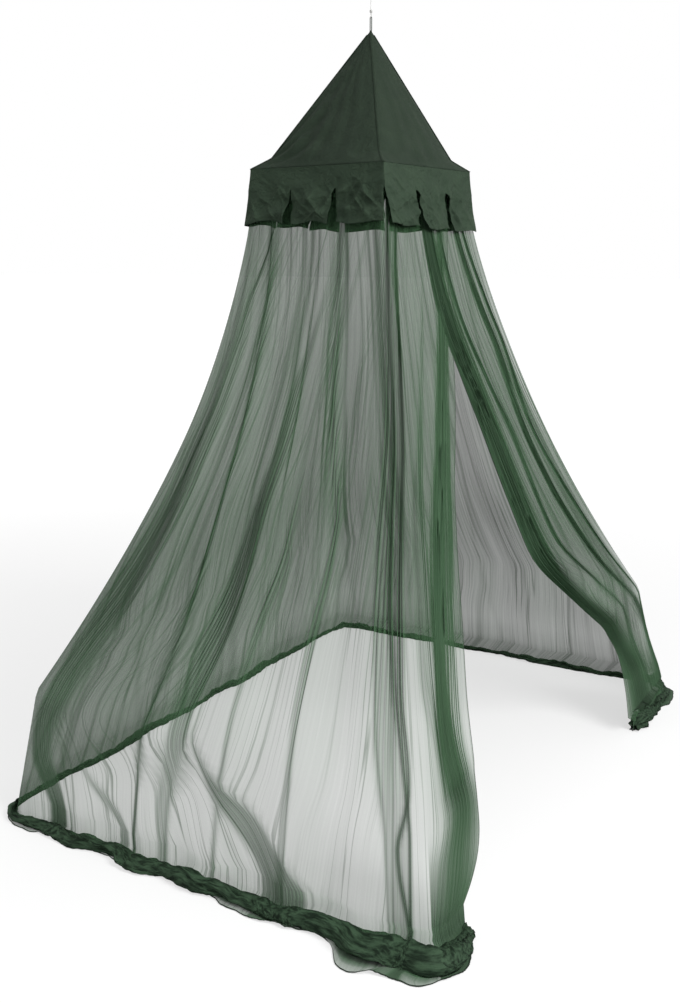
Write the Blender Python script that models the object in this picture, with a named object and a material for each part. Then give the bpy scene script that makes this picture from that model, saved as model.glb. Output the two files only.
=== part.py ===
"""Mosquito net hung from the ceiling: a peaked square canopy on a spreader frame, a slit valance,
and gathered netting down to the floor, with a door in one long side.

Metres, +Z up. The origin is on the ceiling, at the centre of the ceiling plate's flat face.
The foot side faces -Y, the door side faces +X, the head side faces +Y.
"""
import math
from collections import namedtuple

import bmesh
import bpy
from mathutils import Matrix, Vector

# Heights above the floor
CEILING_HEIGHT = 2.72
APEX_HEIGHT = 2.55
FRAME_HEIGHT = 2.10
SHOULDER_FOOT = 0.42
SHOULDER_HEAD = 0.50

# Plan of the drape: half sizes where it leans out furthest above the floor, and on the floor
SHOULDER_SIDE = 0.74
SHOULDER_FRONT = 0.985
SHOULDER_BACK = 1.03
FLOOR_SIDE = 0.80
FLOOR_FRONT = 1.05
FLOOR_BACK = 1.20
CORNER_RADIUS_TOP = 0.015
CORNER_RADIUS_FLOOR = 0.09
DRAPE_BOW = 1.5

# Spreader frame
FRAME_SIDE = 0.52
ROD_RADIUS = 0.004
ROD_BORE = 0.0027
ROD_SETBACK = 0.020
PEG_LENGTH = 0.022
PEG_CLEARANCE = 0.0003
SLEEVE_WALL = 0.0010
SLEEVE_CLEARANCE = 0.0003
SLEEVE_SETBACK = 0.026

# How the frame hangs: turned on the cord, and a little off the hook, against the bed below
FRAME_TURN = math.radians(-5.4)
FRAME_SHIFT = Vector((-0.024, -0.014, 0))
TURN_FOOT = 1.20

# Sewn canopy
CLOTH = 0.0010
KNEE_SETBACK = 0.070
KNEE_RISE = 0.036
PEAK_HOLE = 0.0065
PATCH_SIDE = 0.060
SEAM_WING = 0.006
SEAM_CLOTH = 0.0008
VALANCE_DROP = 0.200
VALANCE_FLARE = 0.034
FLAPS_PER_SIDE = 3
SLIT_START = 0.085
SLIT_WIDTH = 0.009
FLAP_CURL = 0.004
TAPE_HEIGHT = 0.012
TAPE_CLOTH = 0.003

# Netting
NET_WALL = 0.0025
FOLD_TOP = 0.002
FOLD_SHOULDER = 0.016
FOLD_FLOOR = 0.010
FOLDS_FOOT = 6
FOLDS_LEFT = 5
FOLDS_HEAD = 5
FOLDS_FAR_FLAP = 3
FOLD_LEAN = 1.5
HEAP_HEIGHT = 0.055
HEAP_WIDTH = 0.062
HEAP_INSET = 0.016
HEAP_SWELL = 0.22
BINDING_RADIUS = 0.0022

# Rows of the netting, as shares of its height, down to the heap on the floor
LEVELS = (1.000, 0.935, 0.880, 0.832, 0.745, 0.659, 0.577, 0.505, 0.433, 0.370, 0.308, 0.240,
          0.200, 0.145, 0.088)

# Heap on the floor: height over HEAP_HEIGHT, fullness
HEAP_ROWS = ((1.7, 0.0), (1.0, 0.55), (0.55, 1.0), (0.15, 0.92), (0.0, 0.80))

# Door curtains, each a gathered edge of the netting that turns about its sewn top
NEAR_HINGE = 0.52  # share of the frame's side, from the near corner
NEAR_ROUTE = (  # height share, distance over that at the hinge, half width, half thickness
    (1.000, 1.00, 0.008, 0.005),
    (0.930, 1.00, 0.012, 0.006),
    (0.832, 0.98, 0.025, 0.008),
    (0.745, 0.93, 0.042, 0.008),
    (0.659, 0.90, 0.058, 0.009),
    (0.505, 0.75, 0.074, 0.010),
    (0.370, 0.69, 0.079, 0.011),
    (0.145, 0.74, 0.080, 0.016),
    (0.000, 0.755, 0.078, 0.020),
)
FAR_HINGE = 0.606
FAR_ROUTE = (  # height share, share of the door side, half width, half thickness
    (1.000, FAR_HINGE, 0.008, 0.005),
    (0.935, 0.580, 0.012, 0.007),
    (0.832, 0.505, 0.026, 0.009),
    (0.745, 0.490, 0.036, 0.011),
    (0.659, 0.523, 0.048, 0.013),
    (0.505, 0.562, 0.056, 0.015),
    (0.370, 0.584, 0.060, 0.017),
    (0.240, 0.703, 0.069, 0.019),
    (0.145, 0.793, 0.081, 0.022),
    (0.000, 0.845, 0.086, 0.026),
)
CURTAIN_SIDES = 12
CURTAIN_CREASE = 0.16
CURTAIN_GAP = 0.004
CURTAIN_INSET = 0.004
CURTAIN_HEAP_WIDTH = 0.010
CURTAIN_HEAP_DEPTH = 0.030

# Ceiling fitting
PLATE_RADIUS = 0.030
PLATE_THICKNESS = 0.003
HUB_RADIUS = 0.0075
HUB_HEIGHT = 0.009
SCREW_SPACING = 0.040
SCREW_RADIUS = 0.0018
SCREW_HEAD_RADIUS = 0.0036
SCREW_LENGTH = 0.030
SCREW_CLEARANCE = 0.0004
PLUG_RADIUS = 0.0030
PLUG_LENGTH = 0.025
HOOK_WIRE_RADIUS = 0.0016
HOOK_BEND_RADIUS = 0.0090
HOOK_NECK = 0.010
HOOK_SEAT_DEPTH = 0.007

# Cords
CORD_RADIUS = 0.0009
CORD_EYE_RADIUS = 0.0080
CORD_EYE_DROP = 0.022
KNOT_TURNS = 3
TOP_LOOP_RADIUS = 0.0016
TOP_LOOP_HALF_WIDTH = 0.0030
TOP_LOOP_HEIGHT = 0.042
TOP_LOOP_TAIL = 0.006

GAP = 0.0003
SIDES = {  # outward normal and direction along each side
    "foot": (Vector((0, -1, 0)), Vector((1, 0, 0))),
    "door": (Vector((1, 0, 0)), Vector((0, 1, 0))),
    "head": (Vector((0, 1, 0)), Vector((-1, 0, 0))),
    "left": (Vector((-1, 0, 0)), Vector((0, -1, 0))),
}
CORNERS = {"near": (1, -1), "far": (1, 1), "back": (-1, 1), "left": (-1, -1)}

SLEEVE_RADIUS = ROD_RADIUS + SLEEVE_CLEARANCE + SLEEVE_WALL
TAPE_TOP = FRAME_HEIGHT - SLEEVE_RADIUS - GAP
NET_TOP = TAPE_TOP - TAPE_HEIGHT - GAP
VALANCE_OUT = FRAME_SIDE / 2 + SLEEVE_RADIUS + GAP
VALANCE_TOP = FRAME_HEIGHT + SLEEVE_RADIUS
ROOF_EDGE_OUT = VALANCE_OUT + CLOTH
ROOF_PITCH = math.atan2(APEX_HEIGHT - VALANCE_TOP, ROOF_EDGE_OUT)
ROOF_EDGE = VALANCE_TOP + GAP + CLOTH * math.cos(ROOF_PITCH)

Finish = namedtuple("Finish", "kind colour roughness metallic")
NETTING = Finish("netting", (0.055, 0.105, 0.060), 0.85, 0.0)
CANOPY = Finish("canopy_cloth", (0.042, 0.060, 0.045), 0.80, 0.0)
TAPE = Finish("tape", (0.025, 0.045, 0.028), 0.75, 0.0)
CORD = Finish("cord", (0.780, 0.780, 0.760), 0.60, 0.0)
WHITE_PLASTIC = Finish("white_plastic", (0.720, 0.720, 0.700), 0.45, 0.0)
BLACK_PLASTIC = Finish("black_plastic", (0.030, 0.030, 0.032), 0.40, 0.0)
FIBREGLASS = Finish("fibreglass", (0.700, 0.700, 0.660), 0.35, 0.0)
WHITE_PAINT = Finish("white_paint", (0.800, 0.800, 0.790), 0.35, 0.2)
STEEL = Finish("steel", (0.600, 0.600, 0.620), 0.28, 1.0)


def clear_scene():
    for item in list(bpy.data.objects):
        bpy.data.objects.remove(item)


def level(height):
    """Height above the floor to the part's own Z."""
    return height - CEILING_HEIGHT


def paint(made, finish):
    """Give an object its own material with a finish."""
    coat = bpy.data.materials.new(made.name + "_" + finish.kind)
    coat.use_nodes = True
    shader = coat.node_tree.nodes["Principled BSDF"]
    shader.inputs["Base Color"].default_value = (*finish.colour, 1.0)
    shader.inputs["Roughness"].default_value = finish.roughness
    shader.inputs["Metallic"].default_value = finish.metallic
    made.data.materials.append(coat)


def hang(place):
    """Where a point of the net comes to lie. The whole level turns and shifts with the frame; the
    netting eases back to the bed's own lines below, and the peak stays under the hook."""
    height = place.z + CEILING_HEIGHT
    hold = smoothstep((height - TURN_FOOT) / (NET_TOP - TURN_FOOT))
    slide = hold * min(1.0, max(0.0, (APEX_HEIGHT - height) / (APEX_HEIGHT - ROOF_EDGE)))
    return Matrix.Rotation(FRAME_TURN * hold, 3, "Z") @ place + FRAME_SHIFT * slide


def mesh_object(name, shape, finish, smooth=False, hung=True):
    """Object from a bmesh, faces pointing out; a hung one goes where the net hangs."""
    if hung:
        for corner in shape.verts:
            corner.co = hang(corner.co)
    bmesh.ops.recalc_face_normals(shape, faces=shape.faces)
    mesh = bpy.data.meshes.new(name)
    shape.to_mesh(mesh)
    shape.free()
    if smooth:
        mesh.shade_smooth()
        mesh.set_sharp_from_angle(angle=math.radians(40))
    made = bpy.data.objects.new(name, mesh)
    paint(made, finish)
    bpy.context.collection.objects.link(made)
    return made


def turned(name, profile, finish, segments=24, centre=(0.0, 0.0), ring=False, hung=False):
    """Solid turned about an upright axis; a ring's profile is a closed loop off the axis."""
    shape = bmesh.new()
    add_turned(shape, profile, segments, centre, ring)
    return mesh_object(name, shape, finish, smooth=True, hung=hung)


def add_turned(shape, profile, segments, centre, ring):
    rows = []
    for radius, z in profile:
        if radius == 0:
            rows.append([shape.verts.new((centre[0], centre[1], z))])
            continue
        row = []
        for step in range(segments):
            angle = 2 * math.pi * step / segments
            row.append(shape.verts.new((centre[0] + radius * math.cos(angle),
                                        centre[1] + radius * math.sin(angle), z)))
        rows.append(row)
    pairs = list(zip(rows, rows[1:]))
    if ring:
        pairs.append((rows[-1], rows[0]))
    for upper, lower in pairs:
        for step in range(segments):
            after = (step + 1) % segments
            corners = [upper[step % len(upper)], upper[after % len(upper)],
                       lower[after % len(lower)], lower[step % len(lower)]]
            shape.faces.new(list(dict.fromkeys(corners)))


def tube(name, points, radius, finish, resolution=2, radii=None, hung=True):
    """Round tube with closed ends along a list of points."""
    curve = bpy.data.curves.new(name, "CURVE")
    curve.dimensions = "3D"
    curve.bevel_depth = radius
    curve.bevel_resolution = resolution
    curve.use_fill_caps = True
    curve.twist_mode = "MINIMUM"
    spline = curve.splines.new("POLY")
    spline.points.add(len(points) - 1)
    for index, place in enumerate(points):
        spline.points[index].co = (*(hang(place) if hung else place), 1.0)
        spline.points[index].radius = radii[index] if radii else 1.0
    made = bpy.data.objects.new(name, curve)
    paint(made, finish)
    bpy.context.collection.objects.link(made)
    return made


def sheet_solid(name, inner, outer, finish, present=None, smooth=True):
    """Closed solid between two grids of points, [column][row]; present says which cells exist."""
    shape = bmesh.new()
    columns = len(inner) - 1
    rows = len(inner[0]) - 1
    made = {}

    def corner(side, column, row):
        key = (side, column, row)
        if key not in made:
            made[key] = shape.verts.new((inner, outer)[side][column][row])
        return made[key]

    def exists(column, row):
        inside = 0 <= column < columns and 0 <= row < rows
        return inside and (present is None or present(column, row))

    for column in range(columns):
        for row in range(rows):
            if not exists(column, row):
                continue
            ring = [(column, row), (column + 1, row), (column + 1, row + 1), (column, row + 1)]
            shape.faces.new([corner(1, *place) for place in ring])
            shape.faces.new([corner(0, *place) for place in reversed(ring)])
            beyond = [(column, row - 1), (column + 1, row), (column, row + 1), (column - 1, row)]
            for edge, neighbour in enumerate(beyond):
                if not exists(*neighbour):
                    first, second = ring[edge], ring[(edge + 1) % 4]
                    shape.faces.new([corner(1, *second), corner(1, *first),
                                     corner(0, *first), corner(0, *second)])
    return mesh_object(name, shape, finish, smooth)


def hermite(start, start_pull, end, end_pull, share):
    """Smooth curve from one value or point to another, leaving and arriving along the pulls."""
    square = share * share
    cube = square * share
    return (start * (2 * cube - 3 * square + 1) + start_pull * (cube - 2 * square + share)
            + end * (3 * square - 2 * cube) + end_pull * (cube - square))


def read_table(table, key):
    """Smooth reading of rows of (key, values...) whose keys fall."""
    if key >= table[0][0]:
        return table[0][1:]
    index = 0
    while index < len(table) - 2 and table[index + 1][0] > key:
        index += 1
    before, upper = table[max(index - 1, 0)], table[index]
    lower, after = table[index + 1], table[min(index + 2, len(table) - 1)]
    span = upper[0] - lower[0]
    share = min(1.0, (upper[0] - key) / span)
    values = []
    for column in range(1, len(upper)):
        first_pull = (lower[column] - before[column]) * span / (before[0] - lower[0])
        second_pull = (after[column] - upper[column]) * span / (upper[0] - after[0])
        values.append(hermite(upper[column], first_pull, lower[column], second_pull, share))
    return values


def smoothstep(value):
    value = min(1.0, max(0.0, value))
    return value * value * (3 - 2 * value)


def add_ceiling_fitting():
    """Round plate with a hub for the hook, two countersunk screws and their wall plugs."""
    head_drop = SCREW_HEAD_RADIUS - SCREW_RADIUS
    plate = turned("ceiling_plate", [
        (0, 0), (PLATE_RADIUS - 0.0008, 0), (PLATE_RADIUS, -0.0008),
        (PLATE_RADIUS, -PLATE_THICKNESS + 0.001), (PLATE_RADIUS - 0.001, -PLATE_THICKNESS),
        (HUB_RADIUS + 0.0015, -PLATE_THICKNESS), (HUB_RADIUS, -PLATE_THICKNESS - 0.0015),
        (HUB_RADIUS, -PLATE_THICKNESS - HUB_HEIGHT + 0.001),
        (HUB_RADIUS - 0.001, -PLATE_THICKNESS - HUB_HEIGHT),
        (HOOK_WIRE_RADIUS + GAP, -PLATE_THICKNESS - HUB_HEIGHT),
        (HOOK_WIRE_RADIUS + GAP, -PLATE_THICKNESS - HUB_HEIGHT + HOOK_SEAT_DEPTH + GAP),
        (0, -PLATE_THICKNESS - HUB_HEIGHT + HOOK_SEAT_DEPTH + GAP),
    ], WHITE_PAINT, segments=32)
    for side in (-1, 1):
        centre = (0.0, side * SCREW_SPACING / 2)
        hole = SCREW_RADIUS + SCREW_CLEARANCE
        cutter = turned("screw_hole_cutter", [
            (0, 0.001), (hole, 0.001), (hole, -PLATE_THICKNESS + head_drop),
            (hole + head_drop + 0.001, -PLATE_THICKNESS - 0.001), (0, -PLATE_THICKNESS - 0.001),
        ], WHITE_PAINT, segments=20, centre=centre)
        cutter.hide_render = True
        cutter.display_type = "WIRE"
        cut = plate.modifiers.new("screw_hole", "BOOLEAN")
        cut.operation = "DIFFERENCE"
        cut.object = cutter
    for place, side in (("front", -1), ("back", 1)):
        centre = (0.0, side * SCREW_SPACING / 2)
        foot = -PLATE_THICKNESS + 0.0002
        tip = foot + SCREW_LENGTH
        turned("plate_screw_" + place, [
            (0, tip), (SCREW_RADIUS, tip - 0.004), (SCREW_RADIUS, foot + head_drop),
            (SCREW_HEAD_RADIUS, foot), (0.0011, foot), (0.0009, foot + 0.0009), (0, foot + 0.0009),
        ], STEEL, segments=16, centre=centre)
        bore = SCREW_RADIUS + GAP
        turned("wall_plug_" + place, [
            (bore, GAP), (PLUG_RADIUS, GAP), (PLUG_RADIUS * 0.94, PLUG_LENGTH),
            (bore, PLUG_LENGTH),
        ], WHITE_PLASTIC, segments=12, centre=centre, ring=True)


def hook_bottom():
    """Height of the wire's centre at the lowest point of the hook's bend."""
    return -PLATE_THICKNESS - HUB_HEIGHT - HOOK_NECK - 2 * HOOK_BEND_RADIUS


def add_hook():
    """Wire hook: straight shank in the hub, a swung neck, and a round bend centred under it."""
    top = -PLATE_THICKNESS - HUB_HEIGHT + HOOK_SEAT_DEPTH
    neck = -PLATE_THICKNESS - HUB_HEIGHT - 0.001
    centre = hook_bottom() + HOOK_BEND_RADIUS
    points = [Vector((0, 0, top)), Vector((0, 0, (top + neck) / 2)), Vector((0, 0, neck))]
    start = math.radians(35)
    arc_start = Vector((math.cos(start), 0, math.sin(start))) * HOOK_BEND_RADIUS
    arc_start.z += centre
    down = Vector((0, 0, -1)) * HOOK_BEND_RADIUS * 1.3
    turn = Vector((math.sin(start), 0, -math.cos(start))) * HOOK_BEND_RADIUS * 1.3
    for step in range(1, 8):
        points.append(hermite(points[2], down, arc_start, turn, step / 8))
    sweep = math.radians(250)
    for step in range(23):
        angle = start - sweep * step / 22
        points.append(Vector((HOOK_BEND_RADIUS * math.cos(angle), 0,
                              centre + HOOK_BEND_RADIUS * math.sin(angle))))
    tube("ceiling_hook", points, HOOK_WIRE_RADIUS, STEEL, hung=False)


def knot_pitch():
    return 2 * CORD_RADIUS + 1.5 * GAP


def knot_reach():
    """Half the height of a wound knot, over its outer turns."""
    return knot_pitch() * KNOT_TURNS / 2 + CORD_RADIUS + GAP


def cord_levels():
    """Centres of the eye over the hook and of the lower bend, and the heights of the two knots."""
    eye_top = hook_bottom() + HOOK_WIRE_RADIUS + CORD_RADIUS + GAP
    upper_knot = eye_top - CORD_EYE_RADIUS - CORD_EYE_DROP
    loop_bend = level(APEX_HEIGHT) + TOP_LOOP_HEIGHT
    lower_bend = loop_bend - 2 * TOP_LOOP_RADIUS - CORD_RADIUS - GAP
    lower_knot = lower_bend + 0.020
    return eye_top, upper_knot, lower_bend, lower_knot


def add_hanging_cord():
    """One cord: an eye over the hook, a taut run, and a small bight through the top loop."""
    eye_top, upper_knot, lower_bend, lower_knot = cord_levels()
    beside = CORD_RADIUS + GAP
    reach = knot_reach()
    centre = eye_top - CORD_EYE_RADIUS
    tail = Vector((0, beside, upper_knot + reach))
    strand = Vector((0, -beside, upper_knot + reach))
    points = [Vector((0, beside, upper_knot - reach - 0.003)), tail]
    points += eye_side(tail, Vector((0, CORD_EYE_RADIUS, centre)))
    for step in range(15):
        angle = math.pi * step / 14
        points.append(Vector((0, CORD_EYE_RADIUS * math.cos(angle),
                              centre + CORD_EYE_RADIUS * math.sin(angle))))
    points += reversed(eye_side(strand, Vector((0, -CORD_EYE_RADIUS, centre))))
    top = upper_knot + reach
    run = top - (lower_knot - reach)
    for step in range(9):
        points.append(Vector((0, -beside, top - run * step / 8)))
    bend = 0.0032
    bight = lower_bend + bend
    strand = Vector((0, -beside, lower_knot - reach))
    tail = Vector((0, beside, lower_knot - reach))
    points += eye_side(strand, Vector((0, -bend, bight)))
    for step in range(9):
        angle = math.pi + math.pi * step / 8
        points.append(Vector((0, bend * math.cos(angle), bight + bend * math.sin(angle))))
    points += reversed(eye_side(tail, Vector((0, bend, bight))))
    points += [tail, tail + Vector((0, 0, 2 * reach + 0.003))]
    tube("hanging_cord", points, CORD_RADIUS, CORD)
    add_knot("upper_knot", upper_knot)
    add_knot("lower_knot", lower_knot)


def eye_side(start, end):
    """Inner points of the swing from beside a knot to the side of an eye."""
    pull = Vector((0, 0, end.z - start.z)) * 0.9
    return [hermite(start, pull, end, pull, step / 5) for step in range(1, 5)]


def add_knot(name, middle):
    """Turns of the cord wound round the two strands."""
    radius = 3 * CORD_RADIUS + 3 * GAP
    steps = 10 * KNOT_TURNS
    points = []
    for step in range(steps + 1):
        angle = 2 * math.pi * step / 10
        height = middle + knot_pitch() * (step / 10 - KNOT_TURNS / 2)
        points.append(Vector((radius * math.cos(angle), radius * math.sin(angle), height)))
    tube(name, points, CORD_RADIUS, CORD, resolution=1)


def add_top_loop():
    """Doubled green cord that stands up out of the peak, its tails knotted under the patch."""
    half = TOP_LOOP_HALF_WIDTH
    wall = 2 * TOP_LOOP_RADIUS
    ring = half + TOP_LOOP_RADIUS + GAP + wall / 2
    slope = patch_slope()
    knot = patch_height(ring) - 2 * CLOTH - GAP - math.hypot(wall / 2 * slope, wall * 0.9)
    top = level(APEX_HEIGHT) + TOP_LOOP_HEIGHT - TOP_LOOP_RADIUS
    foot = knot - wall * 0.9 - TOP_LOOP_TAIL
    points = []
    for step in range(11):
        points.append(Vector((half, 0, foot + (top - half - foot) * step / 10)))
    for step in range(1, 8):
        angle = math.pi * step / 8
        points.append(Vector((half * math.cos(angle), 0, top - half + half * math.sin(angle))))
    for step in range(11):
        points.append(Vector((-half, 0, top - half - (top - half - foot) * step / 10)))
    tube("top_loop", points, TOP_LOOP_RADIUS, TAPE)
    profile = []
    for step in range(8):
        angle = 2 * math.pi * step / 8
        profile.append((ring + wall / 2 * math.cos(angle), knot + wall * 0.9 * math.sin(angle)))
    turned("loop_knot", profile, TAPE, segments=16, ring=True, hung=True)


def roof_half(share, across):
    """Half widths of the roof, normal to a side and along it, at a share of the way down."""
    edge = ROOF_EDGE_OUT
    height = APEX_HEIGHT - ROOF_EDGE
    knee_out = 1 - KNEE_SETBACK / (edge * math.sqrt(2))
    knee_down = 1 - KNEE_RISE / height
    if share < knee_down:
        corner = knee_out * share / knee_down
    else:
        corner = knee_out + (1 - knee_out) * (share - knee_down) / (1 - knee_down)
    middle = share
    bow = abs(across) ** 3
    return edge * (middle + (corner - middle) * bow), edge * corner


def roof_point(side, across, share, lift=0.0):
    """Point on the roof; across runs -1 to 1 over the side, share 0 at the peak to 1 at the edge."""
    normal, along = SIDES[side]
    out, half = roof_half(share, across)
    height = APEX_HEIGHT - ROOF_EDGE
    slope = math.hypot(height, ROOF_EDGE_OUT)
    outward = normal + along * across * abs(across) ** 7
    place = normal * out + along * half * across
    place += outward * lift * height / slope
    place.z = level(APEX_HEIGHT - share * height) + lift * ROOF_EDGE_OUT / slope
    return place


def roof_rows():
    height = APEX_HEIGHT - ROOF_EDGE
    start = PEAK_HOLE / ROOF_EDGE_OUT
    knee = 1 - KNEE_RISE / height
    return [start, 0.12, 0.30, 0.50, 0.70, 0.84, knee, (1 + knee) / 2, 1.0]


def add_roof():
    """Four cloth panels that meet along the ridges, a tape over each ridge, a patch in the peak."""
    rows = roof_rows()
    columns = 6
    for side in SIDES:
        inner, outer = [], []
        for column in range(columns + 1):
            across = 2 * column / columns - 1
            high, low = [], []
            for share in rows:
                _, half = roof_half(share, 1.0)
                trim = 1 - (GAP / 2) * math.sqrt(2) / half
                high.append(roof_point(side, across * trim, share, 0.0))
                low.append(roof_point(side, across * trim, share, -CLOTH))
            outer.append(high)
            inner.append(low)
        sheet_solid("roof_panel_" + side, inner, outer, CANOPY)
    names = list(SIDES)
    for index, side in enumerate(names):
        following = names[(index + 1) % len(names)]
        add_ridge_seam(side, following, rows)
    add_peak_patch()


def add_ridge_seam(side, following, rows):
    """Tape folded over the ridge between a side and the next one."""
    inner, outer = [], []
    wings = ((side, 1), (side, 0), (following, 0), (following, 1))
    for owner, wing in wings:
        low, high = [], []
        for share in rows[1:]:
            _, half = roof_half(share, 1.0)
            reach = 1 - SEAM_WING / half * wing
            across = reach if owner == side else -reach
            low.append(roof_point(owner, across, share, GAP * 1.4))
            high.append(roof_point(owner, across, share, GAP * 1.4 + SEAM_CLOTH))
        inner.append(low)
        outer.append(high)
    del inner[2], outer[2]
    corner = {"foot": "near", "door": "far", "head": "back", "left": "left"}[side]
    sheet_solid("ridge_seam_" + corner, inner, outer, TAPE)


def patch_slope():
    """The ridges fall faster than the middles of the sides, so the patch follows the ridges."""
    knee_out = ROOF_EDGE_OUT - KNEE_SETBACK / math.sqrt(2)
    return (APEX_HEIGHT - ROOF_EDGE - KNEE_RISE) / knee_out


def patch_height(half):
    """Upper face of the patch at a distance from the middle."""
    under = (CLOTH + GAP) * math.hypot(1, patch_slope())
    return level(APEX_HEIGHT) - half * patch_slope() - under


def add_peak_patch():
    """Square cone of doubled cloth under the peak, with a hole for the loop's tails."""
    hole = TOP_LOOP_HALF_WIDTH + TOP_LOOP_RADIUS + GAP
    shape = bmesh.new()
    rings = []
    for half, thickness in ((hole, 0), (PATCH_SIDE / 2, 0), (PATCH_SIDE / 2, 2 * CLOTH),
                            (hole, 2 * CLOTH)):
        height = patch_height(half) - thickness
        rings.append([shape.verts.new((half * x, half * y, height))
                      for x, y in ((1, 1), (-1, 1), (-1, -1), (1, -1))])
    for upper, lower in zip(rings, rings[1:] + rings[:1]):
        for step in range(4):
            after = (step + 1) % 4
            shape.faces.new([upper[step], upper[after], lower[after], lower[step]])
    mesh_object("peak_patch", shape, CANOPY)


def add_frame():
    """Four tubes joined by plug-in corners, each tube in a sewn sleeve with a tape under it."""
    half = FRAME_SIDE / 2
    z = level(FRAME_HEIGHT)
    for side, (normal, along) in SIDES.items():
        centre = normal * half
        centre.z = z
        reach = half - ROD_SETBACK
        add_pipe("spreader_rod_" + side, centre, along, reach, ROD_BORE, ROD_RADIUS, FIBREGLASS)
        reach = half - SLEEVE_SETBACK
        bore = ROD_RADIUS + SLEEVE_CLEARANCE
        add_pipe("rod_sleeve_" + side, centre, along, reach, bore, SLEEVE_RADIUS, CANOPY)
        add_header_tape(side, normal, along, half)
    for corner, (x, y) in CORNERS.items():
        add_frame_corner(corner, Vector((x * half, y * half, z)), x, y)


def add_pipe(name, centre, along, reach, bore, radius, finish):
    """Hollow round tube, open at both ends."""
    shape = bmesh.new()
    segments = 12
    up = Vector((0, 0, 1))
    across = along.cross(up)
    rings = []
    for size, end in ((bore, -1), (radius, -1), (radius, 1), (bore, 1)):
        ring = []
        for step in range(segments):
            angle = 2 * math.pi * step / segments
            spoke = across * math.cos(angle) + up * math.sin(angle)
            ring.append(shape.verts.new(centre + along * reach * end + spoke * size))
        rings.append(ring)
    for first, second in zip(rings, rings[1:] + rings[:1]):
        for step in range(segments):
            after = (step + 1) % segments
            shape.faces.new([first[step], first[after], second[after], second[step]])
    return mesh_object(name, shape, finish, smooth=True)


def add_header_tape(side, normal, along, half):
    """Flat tape under a sleeve that the netting's gathers are sewn to."""
    inner, outer = [], []
    reach = half - TAPE_CLOTH / 2 - GAP
    for end in (-1, 1):
        low, high = [], []
        for height in (TAPE_TOP, TAPE_TOP - TAPE_HEIGHT):
            for thickness, column in ((-TAPE_CLOTH / 2, low), (TAPE_CLOTH / 2, high)):
                place = normal * (half + thickness) + along * end * (reach + thickness)
                place.z = level(height)
                column.append(place)
        inner.append(low)
        outer.append(high)
    sheet_solid("header_tape_" + side, inner, outer, TAPE, smooth=False)


def add_frame_corner(name, centre, x, y):
    """Moulded elbow with a peg for each of the two tubes."""
    peg = (ROD_BORE - PEG_CLEARANCE) / ROD_RADIUS
    shoulder = ROD_SETBACK - GAP
    end = ROD_SETBACK + PEG_LENGTH
    bend = 0.010
    arm = Vector((-x, 0, 0))
    other = Vector((0, -y, 0))
    points = [centre + arm * end, centre + arm * shoulder, centre + arm * (shoulder - 0.00005)]
    radii = [peg, peg, 1.0]
    middle = centre + (arm + other) * bend
    for step in range(7):
        angle = math.pi / 2 * step / 6
        points.append(middle - other * bend * math.cos(angle) - arm * bend * math.sin(angle))
        radii.append(1.0)
    points += [centre + other * (shoulder - 0.00005), centre + other * shoulder,
               centre + other * end]
    radii += [1.0, peg, peg]
    tube("frame_corner_" + name, points, ROD_RADIUS, BLACK_PLASTIC, resolution=2, radii=radii)


def valance_columns():
    """Places along a side, -1 to 1, and which of the columns between them are slits."""
    half = VALANCE_OUT
    slit = SLIT_WIDTH / half
    places, slits = [-1.0], []
    flap = (2 - slit * FLAPS_PER_SIDE) / FLAPS_PER_SIDE
    position = -1.0 + slit / 2
    places.append(position)
    slits.append(True)
    for index in range(FLAPS_PER_SIDE):
        for step in range(1, 4):
            places.append(position + flap * step / 3)
            slits.append(False)
        position += flap
        last = index == FLAPS_PER_SIDE - 1
        position += slit / 2 if last else slit
        places.append(position)
        slits.append(True)
    places[-1] = 1.0
    return places, slits


def add_valance():
    """Cloth skirt outside the frame, slit into flaps below its upper band."""
    places, slits = valance_columns()
    drops = [0.0, SLIT_START * 0.5, SLIT_START, SLIT_START + (VALANCE_DROP - SLIT_START) * 0.35,
             SLIT_START + (VALANCE_DROP - SLIT_START) * 0.7, VALANCE_DROP]
    for side, (normal, along) in SIDES.items():
        inner, outer = [], []
        for across in places:
            low, high = [], []
            for drop in drops:
                share = drop / VALANCE_DROP
                flare = VALANCE_FLARE * share ** 1.5
                curl = FLAP_CURL * share * (1 + math.cos(across * math.pi * FLAPS_PER_SIDE))
                outward = normal + along * across * abs(across) ** 15
                trim = 1 - GAP / 2 / VALANCE_OUT
                for thickness, column in ((0, low), (CLOTH, high)):
                    spread = flare + thickness
                    place = normal * VALANCE_OUT + along * across * trim * VALANCE_OUT
                    place += outward * spread + normal * curl * (1 - abs(across) ** 7)
                    place.z = level(VALANCE_TOP - drop)
                    column.append(place)
            inner.append(low)
            outer.append(high)

        def present(column, row):
            return row < 2 or not slits[column]

        sheet_solid("valance_" + side, inner, outer, CANOPY, present)


def reach_at(height, top, shoulder, floor, shoulder_height):
    """Half size of the drape at a height: bowed from the frame to the shoulder, then straight."""
    if height >= shoulder_height:
        share = (NET_TOP - height) / (NET_TOP - shoulder_height)
        return top + (shoulder - top) * min(1.0, max(0.0, share)) ** DRAPE_BOW
    return shoulder + (floor - shoulder) * (shoulder_height - height) / shoulder_height


def shoulder_at(side, share):
    """Height of the shoulder at a share of the way along a side."""
    rise = {"foot": 0.0, "door": share, "head": 1.0, "left": 1.0 - share}[side]
    return SHOULDER_FOOT + (SHOULDER_HEAD - SHOULDER_FOOT) * rise


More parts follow.
